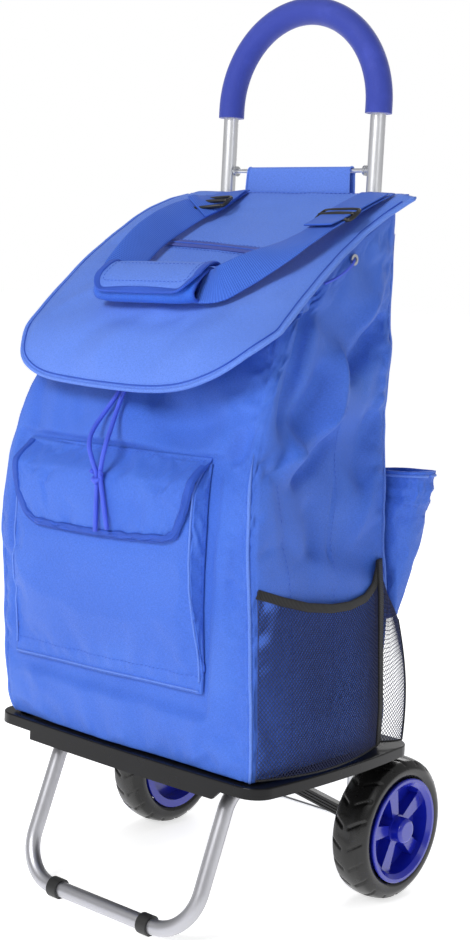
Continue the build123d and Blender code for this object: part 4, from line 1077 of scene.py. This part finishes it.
def ladder_buckle(name, x, s, turn, lift):
    """A moulded three-bar buckle on the strap."""
    centre, up = lid_surface(np.array([x]), np.array([s]), np.array([lift]))
    up = Vector(up[0])
    down = lid_surface(np.array([x]), np.array([s + 5]), np.array([lift]))[0][0] - centre[0]
    down = Vector(down).normalized()
    down = Matrix.Rotation(math.radians(turn), 3, up) @ down
    across = down.cross(up)
    def at(a, b, c):
        return list(Vector(centre[0]) + across * a + down * b + up * c)
    wide, deep = BUCKLE_WIDE, BUCKLE_DEEP
    ring = spline([at(wide * c, deep * d, -0.4 * abs(c)) for c, d in BUCKLE_RING], 90)
    mid = spline([at(-wide, 0, 0.6), at(0, 0, 1.6), at(wide, 0, 0.6)], 16)
    grip = spline([at(-wide * 0.9, deep, 0.4), at(0, deep + 3.0, 1.6), at(wide * 0.9, deep, 0.4)], 20)
    return join_pieces(name, [
        tube_piece(name, ring, 2.1, "black", 10, 0.8), tube_piece(name + "_mid", mid, 2.0, "black", 10),
        tube_piece(name + "_grip", grip, 1.7, "black", 10)])


# Each strap's stops: x, the length s down the lid, the lift off it, and the angle it stands at.
STRAPS = {
    "strap_left": [
        (-74, 5, 2.5, 0), (-69, 26, 6, -4), (-66, 52, 11, -16), (-75, 76, 15, -34), (-78, 105, 18, -45),
        (-78, 140, 20, -46), (-75, 172, 19, -42), (-73, 196, 17, -34), (-68, 218, 15, -20)],
    "strap_left_tail": [(-72, 12, 5.5, 0), (-66, 34, 10.5, -6), (-65, 56, 14.5, -18), (-70, 72, 17.5, -30)],
    "strap_right": [
        (122, 5, 2.5, 0), (119, 44, 7.5, 0), (118.7, 76, 11.5, 0), (118, 104, 14.5, 2), (115.5, 126, 16, 4),
        (109, 156, 18, -2), (98, 180, 19, -16), (84, 201, 18.5, -32), (70, 213, 16.5, -38),
        (48, 216, 14.5, -20)],
    "strap_right_tail": [(121, 14, 6.5, 0), (119, 50, 11.5, 0), (118, 84, 16.0, 0), (117, 106, 19.5, 4)],
}
STRAP_NODES = {"strap_left": "carry_strap_left", "strap_right": "carry_strap_right"}


def make_straps():
    """The two carry straps with their tails, and the two buckles as one piece."""
    for name, stops in STRAPS.items():
        strap_run(name, stops, *([STRAP_NODES[name]] if name in STRAP_NODES else []))
    left = ladder_buckle("buckle_left", -64, 56, 12, 14.0)
    right = ladder_buckle("buckle_right", 119, 76, 4, 14.5)
    both = join_pieces("strap_ladder_buckles", [left, right])
    soft(both, "lid_flap", ("strap_buckles",))


PAD_START, PAD_END = np.array([-76.0, 217.0]), np.array([54.0, 213.0])
PAD_LIFT = 15.5
SLEEVE_HALF, SLEEVE_DEEP, SLEEVE_THICK = 24.5, 11.0, 1.6
FLAP_HALF, FLAP_DEEP, FLAP_THICK = 27.6, 14.6, 1.4


def blunt(a, power):
    """A sine or cosine raised to a power, with its sign kept: a fuller oval."""
    return np.sign(a) * np.abs(a) ** power


def make_pad():
    """The padded wrap grip: a soft sleeve, with a bound flap folded over its top."""
    count = 46
    t = np.linspace(0, 1, count)
    line = PAD_START + (PAD_END - PAD_START) * t[:, None]
    centre, up = lid_surface(line[:, 0], line[:, 1], PAD_LIFT)
    across = np.cross(up, unit(np.gradient(centre, axis=0)))
    angle = np.linspace(0, 2 * math.pi, 40, endpoint=False)
    swell = 1 - 0.16 * np.abs(2 * t - 1) ** 5
    wide = (SLEEVE_HALF * swell)[:, None, None]
    deep = (SLEEVE_DEEP * swell)[:, None, None]
    ring = across[:, None] * blunt(np.cos(angle), 0.85)[None, :, None] * wide
    grid = centre[:, None] + (ring + up[:, None] * blunt(np.sin(angle), 0.9)[None, :, None] * deep)
    pins = np.zeros(grid.shape[:2])
    pins[:2] = pins[-2:] = 1.0
    grid = simulate(grid, True, pins, 1.0, 0.0, 1.5, 1.0)
    fine = refine(grid, 2, True)
    sleeve = grid_piece("grip_sleeve", fine, "sleeve", True, SLEEVE_THICK, True)
    soft(sleeve, "lid_flap", ("strap_pad",))
    inner_up = up[2:-2:4]
    inner_up = inner_up[np.linspace(0, len(inner_up) - 1, 20).astype(int)]
    core = tube_piece("grip_core", spline(centre[2:-2:4], 20), 8.6, "webbing", 16, 0.62, inner_up)
    soft(core, "lid_flap")
    # the flap over the top half, with rounded lower corners and a bound edge
    rows, cols = 26, 60
    v = np.linspace(0, 1, rows)
    u = np.linspace(0, 1, cols)
    corner = np.clip((np.abs(2 * u - 1) - 0.72) / 0.28, 0, 1)
    low = math.pi * (0.80 - 0.26 * corner**2.2)
    start = 0.04 * math.pi
    theta = start + v[:, None] * (low[None, :] - start)
    span = PAD_END - PAD_START
    base, n = lid_surface(PAD_START[0] + span[0] * (u * 0.99 + 0.005), PAD_START[1] + span[1] * u, PAD_LIFT)
    side = np.cross(n, unit(np.gradient(base, axis=0)))
    grid = base[None] + side[None] * (FLAP_HALF * blunt(np.cos(theta), 0.85))[..., None]
    grid = grid + n[None] * (FLAP_DEEP * blunt(np.sin(theta), 0.85))[..., None]
    flap = grid_piece("grip_flap", grid, "lid", False, FLAP_THICK, True)
    soft(flap, "lid_flap")
    normals = -grid_normals(grid, False)
    edge, out = spline(free_edge(grid)[::2], 140), spline(free_edge(normals)[::2], 140)
    soft(ribbon_piece("grip_binding", edge + out * 0.2, out, 3.6, 2.4, "binding", 0.4), "lid_flap")
    inner, inner_n = (
        spline(np.concatenate([a[:-6, 4], a[-6, 5:-4], a[-7::-1, -5]])[::2], 120) for a in (grid, normals))
    row = rows // 2 - 3
    for name, line, up in (("", inner, inner_n), ("_mid", grid[row, 6:-6], normals[row, 6:-6])):
        soft(stitches("grip_stitch" + name, line, up, 3.0, 2.0, 0.34), "lid_flap")
    for name, spot in (("left", 0), ("right", -1)):
        ring = np.concatenate([fine[spot], fine[spot][:1]])
        soft(tube_piece("grip_cuff_" + name, spline(ring[::4], 70), 1.7, "binding", 8), "lid_flap")


def make_binding(name, edge, inward, out, grid, normals, width, body):
    """A tape folded round the edge of a sheet, following its surface."""
    turned = ((2.0, -3.0), (-0.4, -2.6), (-1.2, -0.6), (-0.6, 1.0))
    lines = [edge + inward * a + out * b for a, b in turned]
    for share, lift in ((0.1, 1.5), (0.3, 1.7), (0.5, 1.7), (0.7, 1.7), (0.9, 1.6), (1.0, 1.1), (1.02, -0.5)):
        on, up = lay_on(edge + inward * (width * share), grid, normals)
        line = on + up * lift
        lines.append(spline(line[::4], len(edge)))
    tape = grid_piece(name, np.stack(lines, axis=1), "binding")
    soft(tape, body)


# ---------------------------------------------------------------- front pocket and its flap
def bag_front(x, z):
    """The y of the bag's front wall before its cloth settles."""
    walls = section(z)
    t = np.clip((x - walls[:, 0]) / (walls[:, 1] - walls[:, 0]), 0, 1)
    return walls[:, 2] - FRONT_BOW * np.sin(math.pi * t)


POCKET_FOOT = (240.0, 248.5)
POCKET_HEAD = 469
POCKET_FRONT = -168.5


def make_front_pocket():
    """The front pocket: a panel between two gussets, with its piping and stitching."""
    rows, cols = 40, 62
    v = np.linspace(0, 1, rows)
    depth = 1.5 + 13.5 * smooth_step(v, 0.02, 0.5)
    right_edge = np.interp(v, [0, 0.12, 0.25, 0.42, 0.6, 1], [108, 108, 105, 101.5, 98.5, 97])
    left_edge = np.interp(v, [0, 0.3, 1], [-155, -149, -147])
    right_base = np.interp(v, [0, 0.5, 1], [109.5, 105, 101])
    grid = np.zeros((rows, cols, 3))
    gusset, panel = 7, cols - 14
    for r in range(rows):
        u = np.concatenate([
            np.linspace(0, 1, gusset, endpoint=False), 1 + np.linspace(0, 1, panel, endpoint=False),
            2 + np.linspace(0, 1, gusset)])
        x = np.interp(u, [0, 1, 2, 3], [left_edge[r] - 3, left_edge[r], right_edge[r], right_base[r]])
        share = np.clip((x - left_edge[r]) / (right_edge[r] - left_edge[r]), 0, 1)
        low = POCKET_FOOT[0] + (POCKET_FOOT[1] - POCKET_FOOT[0]) * share
        z = low + v[r] * (POCKET_HEAD - low)
        wall = bag_front(x, z)
        out = np.interp(u, [0, 0.85, 1.04, 1.96, 2.12, 3], [0, 0.9, 1, 1, 0.9, 0.0])
        puff = 3.5 * np.sin(math.pi * np.clip(u - 1, 0, 1)) * math.sin(math.pi * min(1, v[r] * 1.1))
        shut = 1 - 0.9 * smooth_step(z, 440, 468)
        grid[r] = np.stack([x, wall - 0.6 - (depth[r] * out + puff) * shut, z], axis=1)
    pins = np.zeros((rows, cols))
    pins[:2] = pins[-1:] = 1.0
    pins[:, :2] = pins[:, -2:] = 1.0
    pins[:, gusset] = pins[:, gusset + panel - 1] = 0.5
    grid = simulate(grid, False, pins, 0.4, 0.012, 5.0, 2.0)
    fine = refine(grid, 2, False)
    normals = grid_normals(fine, False)
    fine = ripple(fine, normals, 60.0, 1.6, 41.0)
    under_flap = smooth_step(fine[..., 2], 370, 392)
    fine[..., 1] = np.maximum(fine[..., 1], POCKET_FRONT + 2.5 * under_flap)
    pocket = grid_piece("front_pocket_shell", fine, "bag", False, POCKET_THICK)
    soft(pocket, nodes=("front_pocket",))
    normals = grid_normals(fine, False)
    first, last = gusset * 2, (gusset + panel) * 2
    raised = fine + normals * 0.5
    low = (fine + normals * 0.4)[1, first:last]
    for name, line, radius in (
            ("pocket_piping", raised[4:, last - 1][::4], 1.1),
            ("pocket_piping_left", raised[4:, first][::4], 1.0),
            ("pocket_bottom_seam", low[::5], 0.9)):
        soft(tube_piece(name, spline(line, 90), radius, "piping", 8))
    foot = stitches("pocket_bottom_stitch", fine[6, first:last], normals[6, first:last], 3.2, 2.2, 0.32)
    soft(foot)
    side = last + 9
    soft(stitches("pocket_gusset_stitch", fine[6:, side], normals[6:, side], 3.4, 2.6, 0.42))


# Each fold's line, its height and its width.
FLAP_FOLDS = [
    ([(4, -169, 392), (22, -169, 414), (26, -169, 430)], 2.4, 8.0),
    ([(46, -169, 394), (58, -169, 410), (66, -169, 436)], 2.2, 8.0),
    ([(-70, -169, 392), (-60, -169, 416)], 2.0, 9.0),
    ([(-132, -169, 452), (-112, -169, 440)], 2.0, 8.0),
]
# The flap's two side edges, x and z, from its seam down.
FLAP_LEFT = [
    (-151, 470), (-152, 459), (-152, 447), (-151, 435), (-147, 420), (-138, 403), (-127, 391), (-110, 384.5)]
FLAP_RIGHT = [(99, 474), (98, 466), (98.5, 455), (96, 440), (92, 423), (87, 409), (79, 397), (64, 391)]
FLAP_SHEET, FLAP_FRONT, FLAP_HANG, FLAP_LIMIT = -169.5, -168.6, 450, -173.6


def make_pocket_flap():
    """The front pocket's flap, with its bound edge and two lines of stitching."""
    rows, cols = 34, 62
    left, right = spline(FLAP_LEFT, rows), spline(FLAP_RIGHT, rows)
    u = np.linspace(0, 1, cols)
    grid = np.zeros((rows, cols, 3))
    for r in range(rows):
        v = r / (rows - 1)
        x = left[r, 0] + (right[r, 0] - left[r, 0]) * u
        z = left[r, 1] + (right[r, 1] - left[r, 1]) * u - 3.0 * np.sin(math.pi * u) * v
        wall = bag_front(x, z)
        seam = left[0, 1] + (right[0, 1] - left[0, 1]) * u
        out = 0.6 + 19.5 * smooth_step(seam - z, 0, 24)
        puff = 1.8 * np.sin(math.pi * u) * math.sin(math.pi * min(1, v + 0.1))
        y = np.maximum(wall - out, FLAP_SHEET) - puff
        grid[r] = np.stack([x, y, z], axis=1)
    pins = np.zeros((rows, cols))
    pins[:1] = 1.0
    pins[:, :2] = pins[:, -2:] = 0.8
    pins[-2:] = 0.8
    grid = simulate(grid, False, pins, -0.3, 0.02, 2.5, 1.5)
    fine = refine(grid, 2, False)
    for line, depth, width in FLAP_FOLDS:
        fine = press(fine, grid_normals(fine, False), line, depth, width)
    y = fine[..., 1]
    hung = smooth_step(FLAP_HANG - fine[..., 2], 0, 10)
    y = np.where(hung > 0, np.minimum(y, y * (1 - hung) + FLAP_FRONT * hung), y)
    fine[..., 1] = np.maximum(y, FLAP_LIMIT)
    flap = grid_piece("pocket_cover_flap", fine, "bag", False, BAG_THICK, True)
    soft(flap, "pocket_cover", ("pocket_flap",))
    normals = -grid_normals(fine, False)
    edge, out = spline(free_edge(fine, 2)[::3], 200), spline(free_edge(normals, 2)[::3], 200)
    inward = inward_of(edge, out, fine[30, 60])
    make_binding("flap_binding", edge, inward, out, fine, normals, 7.6, "pocket_cover")
    thread, up = lay_on(edge + inward * 5.8, fine, normals)
    soft(stitches("flap_stitch", thread + up * 1.5, up, 3.0, 2.0, 0.32), "pocket_cover")
    soft(stitches("flap_top_stitch", fine[2], normals[2], 3.2, 2.2, 0.32), "pocket_cover")


# ---------------------------------------------------------------- net pocket on the right side
# The height of the net's top edge at each y.
NET_TOP = np.array([
    (-142, 356), (-110, 346), (-75, 337), (-39, 332), (-8, 331), (22, 335), (40, 345), (54, 368)], float)
NET_FRONT, NET_REAR, NET_LOW, NET_THREAD = -141, 54, 176, 0.00105


def net_point(u, v, back=False):
    """A point on the net: u from front to rear, v from the deck up to the binding."""
    if back:
        y = 52 + 34 * u
        z = 177 + v * (np.interp(u, [0, 0.45, 1], [366, 330, 302]) - 177)
        wall = 160 + 0 * u
        bulge = (7 + 19 * np.sin(0.5 * math.pi * u) ** 0.8) * (1 - 0.55 * v ** 1.6) - 6
        return np.stack([wall + bulge, y + 6 * np.sin(math.pi * v) * u, z], axis=-1)
    y = NET_FRONT + (NET_REAR - NET_FRONT) * u
    top = np.interp(y, NET_TOP[:, 0], NET_TOP[:, 1])
    z = NET_LOW + v * (top - NET_LOW)
    wall = np.interp(z, BAG_SECTIONS[:, 0], BAG_SECTIONS[:, 2])
    belly = np.sin(math.pi * np.clip(u, 0, 1)) ** 0.8
    bulge = 2.4 + 15 * belly * (0.55 + 0.45 * np.cos(0.5 * math.pi * v))
    sag = 3.0 * np.sin(2.6 * math.pi * u + 0.6) * np.sin(math.pi * v) * np.sin(math.pi * u)
    return np.stack([wall + bulge + sag, y, z - 3 * np.sin(math.pi * u) * (1 - v)], axis=-1)


def net_piece(name, across, up, back):
    """A diamond net, as thin threads."""
    verts, index, faces = [], {}, []
    def vertex(i, j):
        if (i, j) not in index:
            index[(i, j)] = len(verts)
            verts.append(net_point(np.array(i / across), np.array(j / up), back))
        return index[(i, j)]
    for i in range(0, across + 1):
        for j in range(0, up + 1):
            if (i + j) % 2:
                ring = [(i - 1, j), (i, j - 1), (i + 1, j), (i, j + 1)]
                ring = [k for k in ring if 0 <= k[0] <= across and 0 <= k[1] <= up]
                if len(ring) >= 3:
                    faces.append([vertex(*k) for k in ring])
    piece = new_piece(name, verts, faces, None, "net")
    wire = piece.modifiers.new("threads", "WIREFRAME")
    wire.thickness = NET_THREAD
    wire.offset = 0
    wire.use_even_offset = False
    wire.use_boundary = True
    apply_modifiers(piece)
    piece.data.polygons.foreach_set("use_smooth", [True] * len(piece.data.polygons))
    return piece


def make_net_pocket():
    """The net's side and its turn round the rear corner, with their elastic edges."""
    soft(net_piece("net_side", 96, 78, False), nodes=("mesh_pocket",))
    soft(net_piece("net_rear", 24, 70, True))
    u = np.linspace(0, 1, 60)
    top = net_point(u, np.ones(60))
    up = np.tile((1.0, 0.0, 0.0), (60, 1))
    soft(ribbon_piece("net_top_elastic", top + (0.4, 0, -2.5), up, 4.6, 2.4, "elastic", 0.4))
    rear = net_point(np.full(50, 1.0), np.linspace(0, 1, 50)) + (1.2, -1.0, 0)
    up = np.tile((0.93, 0.36, 0.0), (50, 1))
    soft(ribbon_piece("net_rear_binding", rear, up, 8.0, 2.2, "elastic", 0.4))
    low = net_point(u, np.zeros(60)) + (0.2, 0, 1.0)
    side = net_point(np.full(40, 1.0), np.linspace(0, 1, 40), True)
    turn = net_point(np.linspace(0, 1, 16), np.zeros(16), True)
    for name, line, radius in (
            ("net_bottom_hem", low, 1.3), ("net_rear_hem", side, 1.1), ("net_rear_low_hem", turn, 1.1)):
        soft(tube_piece(name, line, radius, "elastic", 8))


# ---------------------------------------------------------------- tall back pocket
# The pocket's sections: height, width, depth and the x and y of the middle.
TALL = np.array([
    (300, 22, 13, 150, 85), (335, 36, 24, 150, 89), (370, 50, 33, 149.5, 94), (410, 63, 41, 149, 98),
    (436, 68, 44, 149.5, 100.5), (447, 66, 44, 150, 102), (458, 66, 44, 151, 102)], float)
TALL_LOW, TALL_HIGH, TALL_CORD = 300, 458, 447


def make_back_pocket():
    """The tall pocket: a gathered pouch with a corded mouth."""
    cols, rows = 64, 34
    z = np.linspace(TALL_LOW, TALL_HIGH, rows)
    angle = np.linspace(0, 2 * math.pi, cols, endpoint=False)
    grid = np.zeros((rows, cols, 3))
    for r in range(rows):
        wide, deep, cx, cy = (np.interp(z[r], TALL[:, 0], TALL[:, k]) for k in (1, 2, 3, 4))
        pinch = math.exp(-(((z[r] - TALL_CORD) / 5) ** 2))
        gather = math.exp(-(((z[r] - 440) / 22) ** 2))
        wave = 1 + (0.018 * np.sin(angle * 17) + 0.012 * np.sin(angle * 11 + 1.0)) * gather - 0.05 * pinch
        c, s = np.cos(angle), np.sin(angle)
        x = cx + wide / 2 * np.sign(c) * np.abs(c) ** 0.72 * wave
        y = cy + deep / 2 * np.sign(s) * np.abs(s) ** 0.72 * wave
        lift = 10 * smooth_step(z[r], 400, TALL_HIGH) * (0.5 - 0.5 * c)
        grid[r] = np.stack([x, y, z[r] - lift * 0.4], axis=1)
    pins = np.zeros((rows, cols))
    pins[:2] = pins[-4:] = 1.0
    grid = simulate(grid, True, pins, 0.3, 0.03, 4.0, 1.0)
    grid[0] = grid[0].mean(axis=0) + (grid[0] - grid[0].mean(axis=0)) * 0.2
    fine = refine(grid, 2, True)
    pouch = grid_piece("tall_pocket_shell", fine, "bag", True, POCKET_THICK)
    soft(pouch, nodes=("back_pocket",))
    normals = grid_normals(fine, True)
    ring = (fine + normals * 0.3)[-3]
    ring = np.concatenate([ring, ring[:1]])
    soft(tube_piece("tall_pocket_hem", spline(ring[::3], 150), 1.5, "piping", 8))
    for r in (-16, -22):
        soft(stitches(f"tall_pocket_stitch_{-r}", fine[r], normals[r], 3.0, 2.4, 0.34))


# ---------------------------------------------------------------- hanging loop round the cross rod
# The band's section, y and z: up the front of the rod, over it and down behind.
HANGER_SECTION = [
    (82.2, 728), (82.4, 745), (82.7, 757), (83.4, 763.5), (87, 766.4), (90.6, 763.5), (91.2, 757),
    (91.4, 745), (91.0, 731)]
HANGER_HALF, HANGER_THICK = 69.0, 1.5


def make_hanger_loop():
    """The cloth band over the cross rod, with its two corded edges."""
    line = spline(HANGER_SECTION, 60)
    u = np.linspace(0, 1, 40)
    grid = np.zeros((60, 40, 3))
    for r in range(60):
        t = abs(2 * r / 59 - 1)
        half = HANGER_HALF + 2.0 * t
        x = 1 + half * (2 * u - 1)
        sag = 0.5 * np.sin(3 * math.pi * u) * t
        y = line[r, 0] + sag * (1 if r > 30 else -1) * 0.5
        grid[r] = np.stack([x, y, line[r, 1] + 0 * x], axis=1)
    loop = grid_piece("hanger_band", grid, "lid", False, HANGER_THICK)
    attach(loop, "frame")
    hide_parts("hanger_loop")
    edge = join_pieces("hanger_edges", [
        tube_piece("hanger_edge", spline(grid[:, side][::4], 60), 1.1, "piping", 8) for side in (0, -1)])
    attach(edge, "frame")


# ---------------------------------------------------------------- drawstring
KNOT = (-0.019, -0.177, 0.446)
CORD_RADIUS, LOOP_RADIUS = 0.0024, 0.0013
# Each cord's route, its length, its radius and what its far end is.
CORDS = {
    "drawstring_left": ([
        (-0.022, -0.091, 0.598), (-0.021, -0.118, 0.580), (-0.019, -0.138, 0.552), (-0.027, -0.145, 0.525),
        (-0.042, -0.150, 0.503), (-0.043, -0.163, 0.488), (-0.033, -0.178, 0.475), (-0.024, -0.180, 0.459),
        KNOT, (-0.020, -0.177, 0.420), (-0.019, -0.177, 0.390)], 0.251, CORD_RADIUS, "bare"),
    "drawstring_right": ([
        (-0.006, -0.091, 0.598), (-0.007, -0.118, 0.580), (-0.011, -0.138, 0.554), (-0.020, -0.145, 0.527),
        (-0.024, -0.150, 0.507), (-0.017, -0.164, 0.490), (-0.008, -0.179, 0.477), (-0.011, -0.180, 0.461),
        (-0.016, -0.177, 0.446), (-0.009, -0.178, 0.422), (-0.003, -0.177, 0.394)],
        0.2435, CORD_RADIUS, "bare"),
    "eyelet_loop": ([
        (0.1482, -0.004, 0.668), (0.153, -0.010, 0.664), (0.154, -0.026, 0.655), (0.153, -0.042, 0.647),
        (0.1484, -0.050, 0.643)], 0.0547, LOOP_RADIUS, "object"),
}
CORD_TURNS = 2.3


def nurbs_line(points):
    """Points along one open NURBS spline whose control points are the given ones."""
    curve = bpy.data.curves.new("route", "CURVE")
    curve.dimensions = "3D"
    curve.resolution_u = 10
    line = curve.splines.new("NURBS")
    line.points.add(len(points) - 1)
    for point, place in zip(line.points, points):
        point.co = (*place, 1)
    line.order_u = 3
    line.use_endpoint_u = True
    holder = bpy.data.objects.new("route", curve)
    SCENE.collection.objects.link(holder)
    bpy.context.view_layer.update()
    shown = holder.evaluated_get(bpy.context.evaluated_depsgraph_get())
    mesh = bpy.data.meshes.new_from_object(shown)
    path = np.array([v.co for v in mesh.vertices], float)
    bpy.data.objects.remove(holder)
    bpy.data.meshes.remove(mesh)
    return path


def make_cords():
    """The two drawstring ends, with the knot that joins them, and the eyelet's loop."""
    knot = make_knot()
    for name, (points, length, radius, end) in CORDS.items():
        path = nurbs_line(points)
        cord = tube_piece(name + "_cord", path / MM, radius / MM, "cord", 10)
        soft(cord, nodes=(name,))


def make_knot():
    """An overhand knot, as a few tight turns round where the two cords meet."""
    centre = np.array(KNOT) / MM
    t = np.linspace(0, 2 * math.pi, 90)
    loops = centre + np.stack([
        5.0 * np.sin(t) + 2.2 * np.sin(2 * t), 2.6 * np.cos(3 * t) - 0.6,
        5.0 * np.cos(t) - 2.2 * np.cos(2 * t)], axis=1)
    turns = [tube_piece("knot_turns", loops, CORD_TURNS, "cord", 8)]
    band = centre + np.stack([4.6 * np.cos(t), 4.0 * np.sin(t), 1.6 * np.sin(t) - 3.5], axis=1)
    turns.append(tube_piece("knot_band", band, CORD_TURNS, "cord", 8))
    knot = join_pieces("drawstring_knot_turns", turns)
    return soft(knot, nodes=("drawstring_knot",))


# ---------------------------------------------------------------- tyres
TYRE_INNER, GROOVE_DEPTH, GROOVES = 56.4, 1.9, 20


def make_tyre(side):
    """A crowned tyre with shallow V grooves, round the CAD wheel's axis."""
    low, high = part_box("tyre_" + side)
    low, high = np.array(low) / MM, np.array(high) / MM
    mid_x, half = (low[0] + high[0]) / 2, (high[0] - low[0]) / 2
    axis = np.array([mid_x, (low[1] + high[1]) / 2, (low[2] + high[2]) / 2])
    outer = (high[2] - low[2]) / 2
    wall = [
        (half - 8, outer - 1.8), (half - 3.2, outer - 5.5), (half - 0.2, TYRE_INNER + 9),
        (half - 0.4, TYRE_INNER + 3.5), (half - 2.5, TYRE_INNER)]
    profile = spline([(-x, r) for x, r in wall[::-1]] + [(0, outer)] + wall, 64)
    segments = 300
    turn = np.linspace(0, 2 * math.pi, segments, endpoint=False)
    grid = np.zeros((len(profile), segments, 3))
    for k, (offset, radius) in enumerate(profile):
        across = abs(offset / half)
        phase = (turn * GROOVES / (2 * math.pi) + 0.62 * across) % 1.0
        gap = np.abs(phase - 0.5) * (2 * math.pi * outer / GROOVES)
        groove = np.exp(-((gap / 1.5) ** 4)) * smooth_step(across, 0.10, 0.22)
        r = radius - GROOVE_DEPTH * (groove * (1 - smooth_step(across, 0.80, 0.94)))
        grid[k] = np.stack([
            axis[0] + 0 * turn + offset, axis[1] + r * np.cos(turn), axis[2] + r * np.sin(turn)], axis=1)
    tyre = grid_piece("tread_" + side, grid, "tyre", True)
    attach(tyre, "wheel_" + side)
    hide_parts("tyre_" + side)


paint_cad()
make_cords()
bag_wall = make_bag()
make_piping(bag_wall)
make_lid()
make_lid_hinge()
make_zip()
make_straps()
make_pad()
make_front_pocket()
make_pocket_flap()
make_net_pocket()
make_back_pocket()
make_hanger_loop()
for side in ("left", "right"):
    make_tyre(side)
